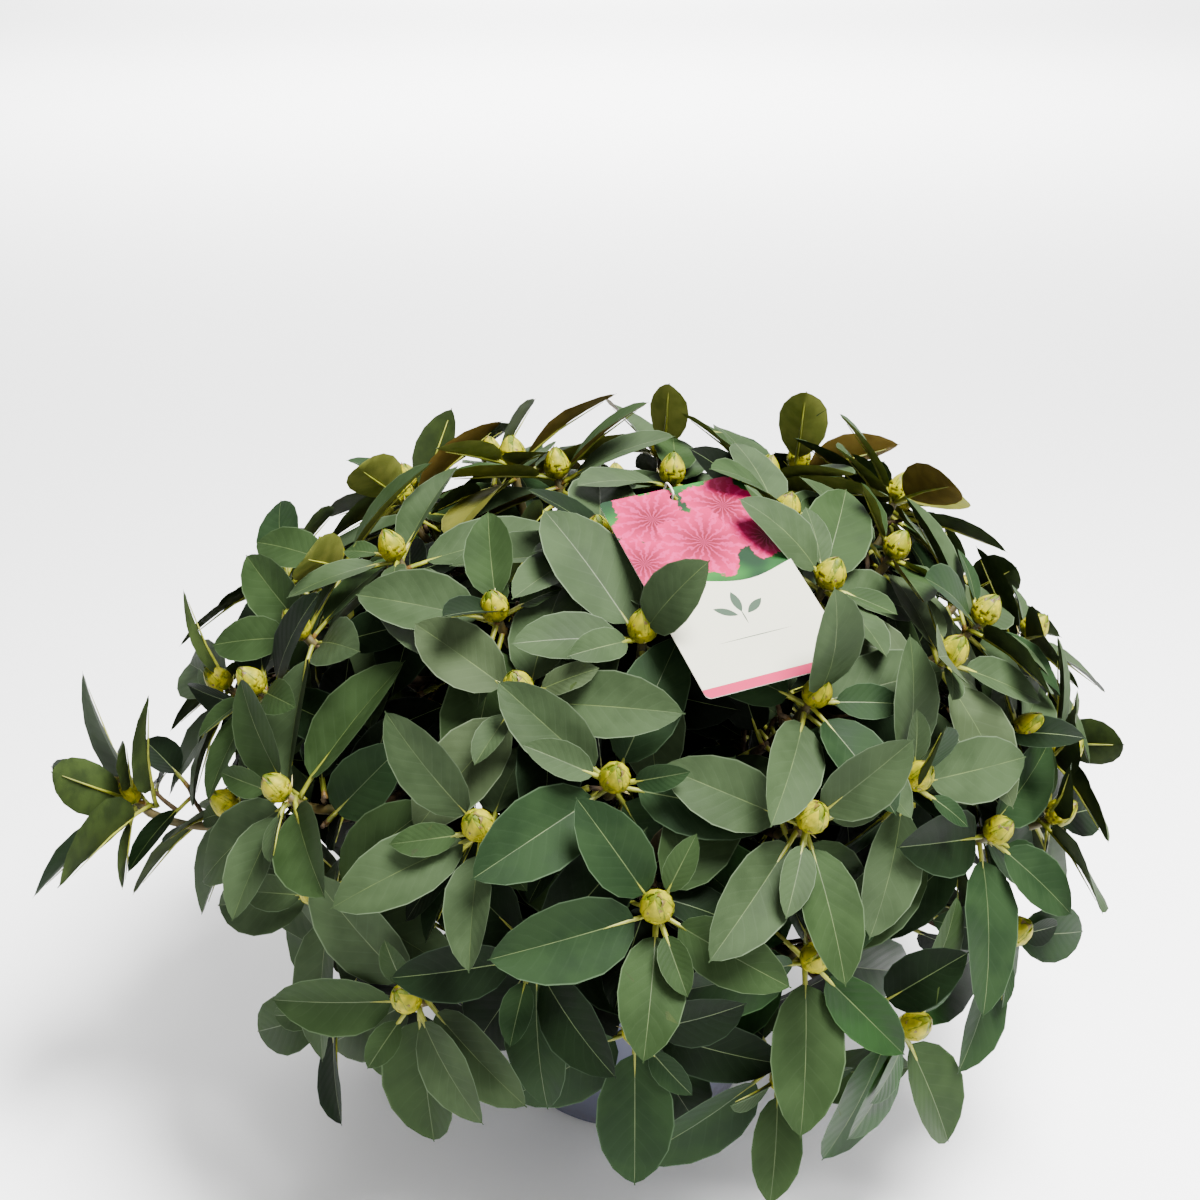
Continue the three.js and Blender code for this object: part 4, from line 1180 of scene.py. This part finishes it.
def make_pot():
    """The nursery pot: a tapered wall with a stacking rim, a foot ring and drain holes."""
    pot = turned("pot_body", pot_profile(), POT_SKIN.steps)
    turns = [(i + 0.5) * 2 * math.pi / POT.drain_holes for i in range(POT.drain_holes)]
    places = [(POT.drain_circle * math.cos(turn), POT.drain_circle * math.sin(turn), 0) for turn in turns]
    cut(pot, [drill(place, POT.drain_radius, POT_SKIN.drill_sides) for place in places])
    only(pot)
    edge = pot.modifiers.new("soft edges", "BEVEL")
    edge.width = POT_SKIN.edge * MM
    edge.segments = POT_SKIN.edge_segments
    edge.limit_method = "ANGLE"
    edge.angle_limit = math.radians(POT_SKIN.edge_angle)
    bpy.ops.object.modifier_apply(modifier=edge.name)
    dress(pot, "pot_plastic")
    return pot


def make_soil():
    """The potting soil: a plug with a lumpy top."""
    inside = pot_radius(SOIL.top) - POT.wall - SOIL.gap
    foot = POT.floor + CLEARANCE
    rings = [(inside * r, SOIL.top) for r in np.linspace(1, 0, SOIL_SKIN.rings)]
    base = [(0, foot), (POT.base_radius - POT.wall - SOIL.gap, foot)]
    soil = turned("potting_soil", base + rings, SOIL_SKIN.steps)
    lumps = bpy.data.textures.new("soil lumps", "CLOUDS")
    lumps.noise_scale = SOIL_SKIN.lump_size * MM
    lumps.noise_depth = SOIL_SKIN.lump_detail
    top = soil.vertex_groups.new(name="top")
    low, wide = (SOIL.top - 1) * MM, (inside - SOIL_SKIN.level_rim) * MM
    top.add([v.index for v in soil.data.vertices if v.co.z > low and v.co.xy.length < wide], 1, "REPLACE")
    raise_by(soil, lumps, SOIL_SKIN.lump_height, direction="Z", vertex_group="top")
    dress(soil, "peat")
    return soil


def make_crumbs():
    """Loose crumbs of bark on the soil, and a little pale grit."""
    ball = fresh(bpy.ops.mesh.primitive_ico_sphere_add, "crumb", subdivisions=1, radius=1)
    shape = np.array([v.co[:] for v in ball.data.vertices])
    faces = [list(p.vertices) for p in ball.data.polygons]
    bpy.data.objects.remove(ball)
    crumbs = Heap()
    draw = seeded(SEEDS.crumbs)
    inside = pot_radius(SOIL.top) - POT.wall - SOIL.gap
    for _ in range(CRUMB.count):
        turn, out = 2 * math.pi * draw(), (inside - CRUMB.rim) * math.sqrt(draw())
        if out < TRUNK.foot_radius + TRUNK.flare:
            continue
        size = vec(CRUMB.length + CRUMB.longer * draw() ** 2, CRUMB.width + CRUMB.wider * draw() ** 2,
                   CRUMB.height + CRUMB.higher * draw())
        place = vec(out * math.cos(turn), out * math.sin(turn), SOIL.top + CRUMB.raised * draw())
        axis = unit(vec(draw() - 0.5, draw() - 0.5, 1))
        pose = facing(axis, CRUMB.full_turn * draw())
        crumbs.add(place + (shape * size) @ pose, faces, int(draw() < CRUMB.grit_share))
    return crumbs.build("soil_crumbs", finishes("bark_chip", "pale_grit"), smooth=False)


def make_card():
    """The picture label: a thin card with round corners and a hole for its string."""
    thickness = CARD.thickness * CARD_SKIN.thickness
    card = fresh(bpy.ops.mesh.primitive_cube_add, "picture_label", size=1)
    card.scale = (CARD.width * MM, CARD.height * MM, thickness * MM)
    bpy.ops.object.transform_apply(location=False, rotation=False, scale=True)
    bpy.ops.object.mode_set(mode="EDIT")
    bpy.ops.mesh.select_all(action="DESELECT")
    bpy.ops.mesh.select_mode(type="EDGE")
    bpy.ops.object.mode_set(mode="OBJECT")
    for edge in card.data.edges:
        a, b = (card.data.vertices[i].co for i in edge.vertices)
        edge.select = abs(a.z - b.z) > 0.5 * thickness * MM
    bpy.ops.object.mode_set(mode="EDIT")
    bpy.ops.mesh.bevel(offset=CARD.corner * MM, segments=CARD_SKIN.corner_segments, affect="EDGES")
    bpy.ops.object.mode_set(mode="OBJECT")
    hole = (0, CARD.height / 2 - CARD.hole_inset, 0)
    cut(card, [drill(hole, CARD.hole_radius, CARD_SKIN.hole_sides)])
    face_map = card.data.uv_layers.new(name="print")
    for loop in card.data.loops:
        x, y = card.data.vertices[loop.vertex_index].co.xy
        face_map.data[loop.index].uv = (x / MM / CARD.width + 0.5, y / MM / CARD.height + 0.5)
    dress(card, "label_print", "label_board")
    for face in card.data.polygons:
        face.material_index = 0 if face.normal.z > 0.5 else 1
    turn = np.eye(4)
    turn[:3] = np.stack([CARD_ACROSS, CARD_UPWARD, CARD_OUT, CARD.centre * MM], -1)
    card.data.transform(Matrix(turn.tolist()))
    return card


def make_string(curve):
    heap = Heap()
    points = curve(np.linspace(0, 1, STRING.rings + 1)[:-1])
    heap.add(*tube(points, STRING.radius * STRING.slimmer, STRING.sides, closed=True))
    return heap.build("label_string", finishes("white_string"))


# ---------------------------------------------------------------- finishes


def paint(red, green, blue):
    """A colour given as it looks on a screen, 0 to 255."""
    def linear(c):
        c /= 255
        return c / 12.92 if c <= 0.04045 else ((c + 0.055) / 1.055) ** 2.4

    return linear(red), linear(green), linear(blue), 1.0


def dress(piece, *names):
    piece.data.materials.clear()
    for finish in finishes(*names):
        piece.data.materials.append(finish)


class Bench:
    """A material or group under construction: nodes are added and wired in one call each."""

    def __init__(self, tree):
        self.tree = tree

    def plug(self, node, socket, value):
        """Links or sets one input, given by its number, or by its name with _ for each space."""
        target = node.inputs[socket if isinstance(socket, int) else socket.replace("_", " ")]
        if isinstance(value, bpy.types.NodeSocket):
            self.tree.links.new(value, target)
        else:
            target.default_value = value

    def fill(self, node, **inputs):
        for socket, value in inputs.items():
            self.plug(node, socket, value)
        return node

    def node(self, kind, settings=None, numbered=(), **inputs):
        made = self.tree.nodes.new("ShaderNode" + kind)
        for key, value in (settings or {}).items():
            setattr(made, key, value)
        for socket, value in numbered:
            self.plug(made, socket, value)
        return self.fill(made, **inputs)

    def calc(self, operation, *values):
        return self.node("Math", {"operation": operation}, enumerate(values)).outputs[0]

    def plus(self, a, b):
        return self.calc("ADD", a, b)

    def minus(self, a, b):
        return self.calc("SUBTRACT", a, b)

    def times(self, a, b):
        return self.calc("MULTIPLY", a, b)

    def scaled(self, value, factor, offset):
        return self.calc("MULTIPLY_ADD", value, factor, offset)

    def blend(self, share, a, b):
        return self.node("Mix", {"data_type": "RGBA"}, ((0, share), (6, a), (7, b))).outputs[2]

    def smooth_step(self, value, low, high):
        settings = {"interpolation_type": "SMOOTHSTEP"}
        return self.node("MapRange", settings, enumerate((value, low, high))).outputs[0]

    def noise(self, where, scale, detail, **more):
        return self.node("TexNoise", Vector=where, Scale=scale, Detail=detail, **more).outputs[0]

    def bump(self, height, strength, distance):
        """A relief whose distance is given in millimetres."""
        return self.node("Bump", Height=height, Strength=strength, Distance=distance * MM).outputs[0]

    def object_place(self):
        return self.node("TexCoord").outputs["Object"]

    def mapped_place(self, uv_map):
        return self.node("UVMap", {"uv_map": uv_map}).outputs[0]

    def split(self, vector):
        return self.node("SeparateXYZ", Vector=vector).outputs

    def group(self, kind, **inputs):
        return self.node("Group", {"node_tree": kind}, **inputs).outputs


# The kind of a group's socket, by how many numbers it holds.
SOCKET_KINDS = {1: "NodeSocketFloat", 3: "NodeSocketVector", 4: "NodeSocketColor"}


def new_group(name, puts_out, **takes):
    """An empty node group with named sockets. Gives it with its bench, its input sockets and output node."""
    group = bpy.data.node_groups.new(name, "ShaderNodeTree")
    for label, default in takes.items():
        kind = SOCKET_KINDS[np.size(default)]
        label = label.replace("_", " ")
        group.interface.new_socket(name=label, in_out="INPUT", socket_type=kind).default_value = default
    for label, kind in puts_out.items():
        group.interface.new_socket(name=label, in_out="OUTPUT", socket_type=SOCKET_KINDS[kind])
    given, result = (group.nodes.new(kind) for kind in ("NodeGroupInput", "NodeGroupOutput"))
    return group, Bench(group), given.outputs, result


@functools.cache
def mottle():
    """Two colours mixed in soft clouds, with fine grain. Puts out the colour, the clouds and the grain."""
    group, bench, given, result = new_group(
        "mottle", {"Colour": 4, "Clouds": 1, "Grain": 1},
        Colour_A=(0, 0, 0, 1), Colour_B=(1, 1, 1, 1), Cloud_Size=40.0, Grain_Size=900.0)
    where = bench.object_place()
    share = bench.smooth_step(bench.noise(where, given["Cloud Size"], 3.0), 0.35, 0.65)
    grain = bench.noise(where, given["Grain Size"], 2.0)
    colour = bench.blend(share, given["Colour A"], given["Colour B"])
    bench.fill(result, Colour=colour, Clouds=share, Grain=grain)
    return group


@functools.cache
def side_veins():
    """Fine veins that leave the midrib at a slant, from the blade's own pattern map."""
    group, bench, given, result = new_group(
        "side veins", {"Vein": 1, "Swell": 1, "Rim": 1}, Veins=9.0, Slant=0.24)
    parts = bench.split(bench.mapped_place("pattern"))
    away = bench.calc("ABSOLUTE", bench.scaled(parts[1], 2.0, -1.0))
    phase = bench.minus(parts[0], bench.times(away, given["Slant"]))
    saw = bench.calc("FRACT", bench.times(phase, given["Veins"]))
    saw = bench.calc("ABSOLUTE", bench.scaled(saw, 2.0, -1.0))
    fade = bench.minus(1.0, bench.times(away, away))
    line = bench.minus(1.0, bench.smooth_step(saw, 0.0, 0.2))
    bench.fill(result, Vein=bench.times(line, fade), Swell=saw, Rim=bench.smooth_step(away, 0.95, 0.99))
    return group


def new_finish(name, roughness, specular):
    """A material with its bench and its shader, whose plain values are set here."""
    finish = bpy.data.materials.new(name)
    finish.use_nodes = True
    finish.diffuse_color = (0.5, 0.5, 0.5, 1)
    bench = Bench(finish.node_tree)
    shader = finish.node_tree.nodes["Principled BSDF"]
    return finish, bench, bench.fill(shader, Roughness=roughness, Specular_IOR_Level=specular)


# Finishes that vary softly between two colours: dark, light, roughness, how fine their clouds and their grain
# are, the grain's relief in millimetres, and the specular level.
MOTTLED = {
    "leaf_midrib": ((46, 60, 28), (64, 78, 38), 0.55, 60, 900, 0.1, 0.3),
    # The pale olive underside is partly the leaf's own colour and partly painted light shining through it;
    # the dark green underside after it is painted shade.
    "leaf_underside": ((100, 106, 42), (122, 126, 56), 0.65, 60, 1200, 0.3, 0.12),
    "leaf_underside_green": ((28, 38, 14), (40, 52, 20), 0.65, 60, 1200, 0.3, 0.12),
    "leaf_underside_tan": ((92, 74, 28), (110, 90, 38), 0.65, 60, 1200, 0.3, 0.12),
    "leaf_stalk": ((92, 98, 18), (124, 126, 32), 0.5, 90, 900, 0.2, 0.4),
    "leaf_stalk_foot": ((84, 58, 16), (112, 86, 26), 0.55, 90, 900, 0.2, 0.4),
    "bud_scale": ((104, 104, 2), (138, 130, 4), 0.55, 160, 1500, 0.25, 0.15),
    # The darker green of the scales' edges, inner sides and rims is partly their own colour and partly
    # painted shade between the scales.
    "bud_scale_green": ((60, 74, 3), (96, 102, 5), 0.55, 160, 1500, 0.25, 0.15),
    "bud_scale_tip": ((62, 46, 6), (94, 80, 12), 0.55, 300, 1500, 0.25, 0.4),
    "dry_bract": ((140, 130, 76), (176, 164, 112), 0.6, 300, 1500, 0.1, 0.4),
    "twig_bark": ((42, 31, 18), (72, 56, 34), 0.8, 120, 900, 0.8, 0.25),
    "young_twig": ((50, 48, 14), (74, 62, 24), 0.62, 100, 900, 0.3, 0.35),
    "fissured_bark": ((38, 29, 20), (78, 64, 48), 0.85, 140, 700, 1.2, 0.2),
    "peat": ((18, 12, 8), (42, 29, 18), 0.95, 260, 1400, 2.5, 0.15),
    "bark_chip": ((28, 17, 10), (64, 42, 26), 0.9, 400, 1400, 0.6, 0.2),
    "pale_grit": ((120, 114, 100), (160, 154, 140), 0.85, 400, 1400, 0.4, 0.2),
    "label_board": ((178, 176, 164), (190, 188, 178), 0.5, 60, 1500, 0.1, 0.4),
}

# The greens of the leaves' upper sides: dark, light, roughness and specular level. Each spray takes most of
# its leaves from one of them. The deep and shade greens are near black: painted shade for leaves low in the
# crown, on its left and deep inside it. The olive is painted light shining through upright leaves.
LEAF_TONES = {
    "leaf_sage": ((43, 53, 33), (52, 63, 41), 0.6, 0.05),
    "leaf_grey_green": ((38, 50, 30), (46, 59, 37), 0.6, 0.05),
    "leaf_mid_green": ((29, 43, 20), (36, 51, 26), 0.6, 0.05),
    "leaf_blue_green": ((19, 34, 16), (26, 42, 21), 0.6, 0.05),
    "leaf_deep_green": ((6, 16, 4), (10, 22, 7), 0.6, 0.05),
    "leaf_shade_green": ((2, 6, 1), (4, 9, 2), 0.6, 0.05),
    "leaf_fresh_green": ((9, 31, 3), (15, 41, 6), 0.48, 0.14),
    "leaf_olive": ((60, 62, 16), (76, 76, 24), 0.6, 0.05),
    "leaf_bronze": ((21, 18, 6), (31, 26, 9), 0.6, 0.05),
}


def clouded(bench, dark, light, cloud_size, grain_size):
    """The mottle of a finish, between two colours given as they look on a screen."""
    return bench.group(mottle(), Colour_A=paint(*dark), Colour_B=paint(*light),
                       Cloud_Size=float(cloud_size), Grain_Size=float(grain_size))


def mottled(name):
    """A finish that varies softly between two colours, with a fine grain."""
    dark, light, roughness, cloud_size, grain_size, relief, specular = MOTTLED[name]
    finish, bench, shader = new_finish(name, roughness, specular)
    cloudy = clouded(bench, dark, light, cloud_size, grain_size)
    bench.fill(shader, Base_Color=cloudy["Colour"], Normal=bench.bump(cloudy["Grain"], 0.6, relief))
    return finish


def leaf_upper(name):
    """The upper side of a leaf: leathery, matt, with faint side veins and a pale rim."""
    dark, light, roughness, specular = LEAF_TONES[name]
    finish, bench, shader = new_finish(name, roughness, specular)
    cloudy = clouded(bench, dark, light, 36, 1400)
    veins = bench.group(side_veins())
    line_share = bench.scaled(veins["Rim"], 0.75, bench.times(veins["Vein"], 0.07))
    pale = paint(*[c + 30 for c in light])
    height = bench.scaled(veins["Swell"], 1.0, bench.times(cloudy["Grain"], 0.5))
    bench.fill(shader, Base_Color=bench.blend(line_share, cloudy["Colour"], pale),
               Normal=bench.bump(height, 0.35, 0.25),
               Roughness=bench.scaled(cloudy["Clouds"], 0.1, roughness - 0.05))
    return finish


def pot_plastic(name):
    """Moulded plastic: a bluish grey with a faint satin grain and dust towards the foot."""
    finish, bench, shader = new_finish(name, 0.42, 0.45)
    cloudy = clouded(bench, (82, 84, 100), (90, 92, 109), 16, 2600)
    where = bench.object_place()
    low = bench.minus(1.0, bench.smooth_step(bench.split(where)[2], 0.0, 0.05))
    smear = bench.noise(where, 38.0, 5.0, Roughness=0.65)
    dust = bench.times(low, bench.smooth_step(smear, 0.45, 0.75))
    dusty = bench.blend(bench.times(dust, 0.5), cloudy["Colour"], paint(90, 80, 68))
    bench.fill(shader, Base_Color=dusty, Roughness=bench.scaled(dust, 0.3, 0.42),
               Normal=bench.bump(cloudy["Grain"], 0.3, 0.1))
    return finish


def white_string(name):
    """Twisted cotton, with slanting strands."""
    finish, bench, shader = new_finish(name, 0.75, 0.3)
    strand = bench.node("TexWave", {"wave_type": "BANDS", "bands_direction": "DIAGONAL"},
                        Vector=bench.object_place(), Scale=420.0, Distortion=1.0).outputs[1]
    bench.fill(shader, Base_Color=bench.blend(strand, paint(176, 172, 160), paint(206, 202, 192)),
               Normal=bench.bump(strand, 0.5, 0.2))
    return finish


def from_middle(bench, given):
    """How far the painted place lies from a printed shape's middle, along X and along Y."""
    parts = bench.split(given["Place"])
    return bench.minus(parts[0], given["Middle X"]), bench.minus(parts[1], given["Middle Y"])


@functools.cache
def blossom():
    """A round ruffled blossom of five lobes. Puts out where it lies, how far into it, and its fold lines."""
    group, bench, given, result = new_group(
        "blossom", {"Mask": 1, "Depth": 1, "Folds": 1},
        Place=(0, 0, 0), Middle_X=0.5, Middle_Y=0.7, Size=0.2, Turn=0.0)
    x, y = from_middle(bench, given)
    out = bench.calc("SQRT", bench.plus(bench.times(x, x), bench.times(y, y)))
    angle = bench.plus(bench.calc("ARCTAN2", y, x), given["Turn"])
    frill = bench.noise(given["Place"], 26.0, 2.0)
    lobes = bench.scaled(bench.calc("COSINE", bench.times(angle, 5.0)), 0.12, 0.86)
    edge = bench.times(given["Size"], bench.scaled(frill, 0.3, bench.minus(lobes, 0.15)))
    depth = bench.calc("DIVIDE", out, edge)
    mask = bench.minus(1.0, bench.smooth_step(depth, 0.94, 1.0))
    folds = bench.calc("COSINE", bench.scaled(angle, 15.0, bench.times(frill, 9.0)))
    bench.fill(result, Mask=mask, Depth=depth, Folds=folds)
    return group


@functools.cache
def leaflet():
    """A slim pointed shape about a middle. Puts out 1 inside it."""
    group, bench, given, result = new_group(
        "leaflet", {"Mask": 1},
        Place=(0, 0, 0), Middle_X=0.5, Middle_Y=0.5, Along=0.1, Wide=0.3, Turn=0.0)
    x, y = from_middle(bench, given)
    cosine, sine = (bench.calc(kind, given["Turn"]) for kind in ("COSINE", "SINE"))
    u = bench.plus(bench.times(x, cosine), bench.times(y, sine))
    v = bench.minus(bench.times(y, cosine), bench.times(x, sine))
    u = bench.calc("DIVIDE", u, given["Along"])
    v = bench.calc("ABSOLUTE", bench.calc("DIVIDE", v, given["Along"]))
    limit = bench.times(given["Wide"], bench.minus(1.0, bench.times(u, u)))
    bench.fill(result, Mask=bench.calc("LESS_THAN", v, limit))
    return group


# The printed sprig and the rule under it: middle, half length, slimness and turn, on a card that is 1 wide.
LEAFLETS = [
    (0.50, 0.655, 0.085, 0.34, 1.57), (0.40, 0.595, 0.080, 0.34, 2.55), (0.60, 0.595, 0.080, 0.34, 0.59),
    (0.50, 0.530, 0.060, 0.07, 1.57), (0.50, 0.370, 0.260, 0.012, 0.0),
]

# Each printed blossom: middle and size on a card that is 1 wide, and how far it is turned.
BLOSSOMS = [
    (0.28, 1.46, 0.31, 0.4), (0.78, 1.45, 0.30, 1.3), (0.08, 1.12, 0.26, 2.0), (0.94, 1.12, 0.22, 0.9),
    (0.52, 1.18, 0.33, 0.1),
]


def label_print(name):
    """The picture side: pink blossoms before soft greenery, above a cream field with a wavy upper edge."""
    finish, bench, shader = new_finish(name, 0.6, 0.12)
    tall = bench.node("Mapping", Vector=bench.mapped_place("print"),
                      Scale=(1.0, CARD.height / CARD.width, 1.0)).outputs[0]
    parts = bench.split(tall)
    leafy = bench.smooth_step(bench.noise(tall, 3.2, 1.0), 0.35, 0.65)
    colour = bench.blend(leafy, paint(2, 32, 10), paint(26, 84, 24))
    for middle_x, middle_y, size, turn in BLOSSOMS:
        flower = bench.group(blossom(), Place=tall, Middle_X=middle_x, Middle_Y=middle_y, Size=size,
                             Turn=turn)
        deep = bench.smooth_step(flower["Depth"], 0.1, 0.95)
        rosy = bench.blend(deep, paint(88, 0, 24), paint(146, 3, 64))
        shaded = bench.times(bench.smooth_step(flower["Folds"], 0.0, 1.0), 0.4)
        rosy = bench.blend(shaded, rosy, paint(178, 44, 104))
        colour = bench.blend(flower["Mask"], colour, rosy)
    wave = bench.calc("SINE", bench.scaled(parts[0], 6.4, 0.5))
    in_cream = bench.calc("LESS_THAN", parts[1], bench.scaled(wave, 0.05, 0.86))
    colour = bench.blend(in_cream, colour, paint(170, 169, 152))
    for middle_x, middle_y, along, wide, turn in LEAFLETS:
        mark = bench.group(leaflet(), Place=tall, Middle_X=middle_x, Middle_Y=middle_y, Along=along,
                           Wide=wide, Turn=turn)
        colour = bench.blend(mark["Mask"], colour, paint(46, 62, 48))
    in_strip = bench.calc("LESS_THAN", parts[1], 0.07)
    bench.fill(shader, Base_Color=bench.blend(in_strip, colour, paint(150, 20, 62)))
    return finish


def pale_floor(name):
    finish, bench, shader = new_finish(name, 0.9, 0.1)
    bench.fill(shader, Base_Color=(0.94, 0.94, 0.94, 1))
    return finish


# The finishes that have a function of their own, which bears their name.
OWN_WAY = {maker.__name__: maker for maker in (pot_plastic, white_string, label_print, pale_floor)}


@functools.cache
def finish_called(name):
    if name in LEAF_TONES:
        return leaf_upper(name)
    return mottled(name) if name in MOTTLED else OWN_WAY[name](name)


def finishes(*names):
    return [finish_called(name) for name in names]


# ---------------------------------------------------------------- putting it together


def dealt(draw, *choices):
    """A palette: each of the choices but the last is taken by its own chance, and otherwise the last."""
    for chance, palette in choices[:-1]:
        if draw() < chance:
            return palette
    return choices[-1]


def spray_palette(clump, draw):
    """The two tones that a spray's leaves are dealt from, by where the spray stands. Low and left sprays get
    darker tones as painted shade, and middle sprays on the right more of the pale ones as painted light.
    """
    if clump.name in ("right_low", "left_far"):
        return dealt(draw, (0.7, (FRESH, MID)), (MID, BLUE))
    if tier_of(clump) == "top":
        return dealt(draw, (0.5, (GREY, MID)), (MID, GREY))
    # Left sprays: darker tones, as painted shade.
    if clump.name.startswith("left"):
        return dealt(draw, (0.5, (GREY, MID)), (MID, DEEP_SHADE))
    if tier_of(clump) == "middle":
        # Middle sprays on the right: more of the pale tones, as painted light.
        grey_share = 0.85 if clump.name.startswith("right") else 0.5
        return dealt(draw, (grey_share, (SAGE, GREY)), (0.6, (GREY, MID)), (GREY, BLUE))
    # Low sprays: the darkest tones, as painted shade.
    return dealt(draw, (0.2, (MID, BLUE)), (0.4, (MID, DEEP_SHADE)), (BLUE, DEEP_SHADE))


def leaf_tone(clump, leaf, palette, pick):
    """A young leaf takes its spray's tones, an old one a darker tone the deeper it sits in the crown, as
    painted shade.
    """
    if leaf.old:
        offset = leaf.root - CROWN_CENTRE
        is_low = tier_of(clump) == "low"
        if is_low and pick > 0.93:
            return BRONZE
        # Old leaves deep in the crown take the near-black greens, and old leaves of the low sprays never the
        # blue-green: painted shade.
        if np.linalg.norm(offset) / crown_radius(unit(offset)) < 0.84:
            return DEEP_SHADE if pick > 0.85 else SHADE
        return BLUE if pick > 0.7 and not is_low else DEEP_SHADE
    # A few young leaves at the back of the top take the olive: painted light shining through the upright
    # blades.
    at_back_of_top = clump.elevation > 50 and leaf.root[1] > 0 and leaf.deeper > 0
    if at_back_of_top and pick > 0.88:
        return OLIVE_BACKLIT
    return palette[0] if pick < 0.62 else palette[1]


def make_leaves(name, branches):
    heap = Heap()
    for branch in branches:
        draw = seeded(SEEDS.leaf_shapes, branch.rank)
        for shoot in branch.shoots:
            palette = spray_palette(branch.mass, draw)
            for leaf in shoot.leaves:
                tone = leaf_tone(branch.mass, leaf, palette, draw())
                # The undersides of the top's young leaves are pale olive, partly their own colour and partly
                # painted light shining through them; all other undersides take a dark green that is painted
                # shade.
                under = UNDER_SHADE
                if tier_of(branch.mass) == "top" and not leaf.old:
                    under = UNDER_TAN if draw() < 0.2 else UNDER
                add_leaf(heap, leaf, tone, under, draw)
    return heap.build(name, finishes(*LEAF_FINISHES), crease=UNDER)


def settle(piece, slot, *nodes):
    """The piece rides with the pot and plant, and stands for the nodes that it covers. Its slot is not used.
    """
    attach(piece, "root")
    if nodes:
        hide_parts(*nodes)


branches = plan()
string = plan_string(branches)
growth = Growth(branches, string)
grow_leaves(branches, growth)
grow_over_card(branches, growth)
grow_young(branches, growth)
grow_spurs(branches, growth)

for tier in ("low", "middle", "top"):
    tier_branches = [branch for branch in branches if tier_of(branch.mass) == tier]
    covered = [f"foliage_{branch.mass.name}" for branch in tier_branches]
    settle(make_leaves(f"leaves_{tier}", tier_branches), "foliage", *covered)

twig_heap = Heap()
add_twigs(twig_heap, branches)
settle(twig_heap.build("twigs", finishes("twig_bark", "young_twig")), "bark")

bud_heap = Heap()
pattern = bud_pattern()
bud_draw = seeded(SEEDS.buds)
for branch in branches:
    for shoot in branch.shoots:
        add_bud(bud_heap, pattern, shoot, bud_draw)
settle(bud_heap.build("flower_buds", finishes(*BUD_FINISHES)), "foliage")

settle(make_wood(branches), "bark", "trunk", *[f"bough_{branch.mass.name}" for branch in branches])
settle(make_pot(), "pot_plastic", "pot")
settle(make_soil(), "soil", "soil")
settle(make_crumbs(), "soil")
settle(make_card(), "card", "label_card")
settle(make_string(string), "string", "label_tie")

# ---------------------------------------------------------------- floor, light and camera, in metres

FLOOR_SIZE = 60
SKY_STRENGTH = 0.7
CAMERA = Named(place=(-0.025, -1.293, 0.923), looks_down=21.5, lens=55.5, sensor=36)
# Each lamp's name, place, size, power and target.
LAMPS = [
    ("key", (0.75, -0.65, 2.6), 1.3, 430, (0, 0, 0.3)),
    ("fill", (1.4, -2.1, 1.6), 2.0, 40, (0, 0, 0.3)),
    ("backdrop", (0, 7, 5), 6, 2500, (0, 9, 0)),
    ("far_backdrop", (0, 17, 7), 9, 4500, (0, 20, 0)),
]


def make_stage():
    floor = fresh(bpy.ops.mesh.primitive_plane_add, "floor", size=FLOOR_SIZE)
    dress(floor, "pale_floor")


def stand(name, data, place):
    """A lamp or the camera at its place in the scene."""
    made = bpy.data.objects.new(name, data)
    bpy.context.collection.objects.link(made)
    made.location = place
    return made


def add_lamp(name, place, size, power, target):
    """A round soft light, turned to its target."""
    lamp = bpy.data.lights.new(name, "AREA")
    lamp.shape = "DISK"
    lamp.size = size
    lamp.energy = power
    made = stand(name, lamp, place)
    made.rotation_euler = (made.location - Vector(target)).to_track_quat("Z", "Y").to_euler()


def make_sky():
    """Even white light from all round."""
    world = bpy.context.scene.world or bpy.data.worlds.new("studio")
    bpy.context.scene.world = world
    world.use_nodes = True
    sky = world.node_tree.nodes["Background"]
    sky.inputs["Color"].default_value = (1, 1, 1, 1)
    sky.inputs["Strength"].default_value = SKY_STRENGTH


def make_camera():
    """The view: from the front and above, with a lens of moderate length."""
    lens = bpy.data.cameras.new("camera")
    lens.lens = CAMERA.lens
    lens.sensor_width = CAMERA.sensor
    made = stand("camera", lens, CAMERA.place)
    made.rotation_euler = (math.radians(90 - CAMERA.looks_down), 0, 0)
    bpy.context.scene.camera = made


make_stage()
make_sky()
for lamp in LAMPS:
    add_lamp(*lamp)
make_camera()
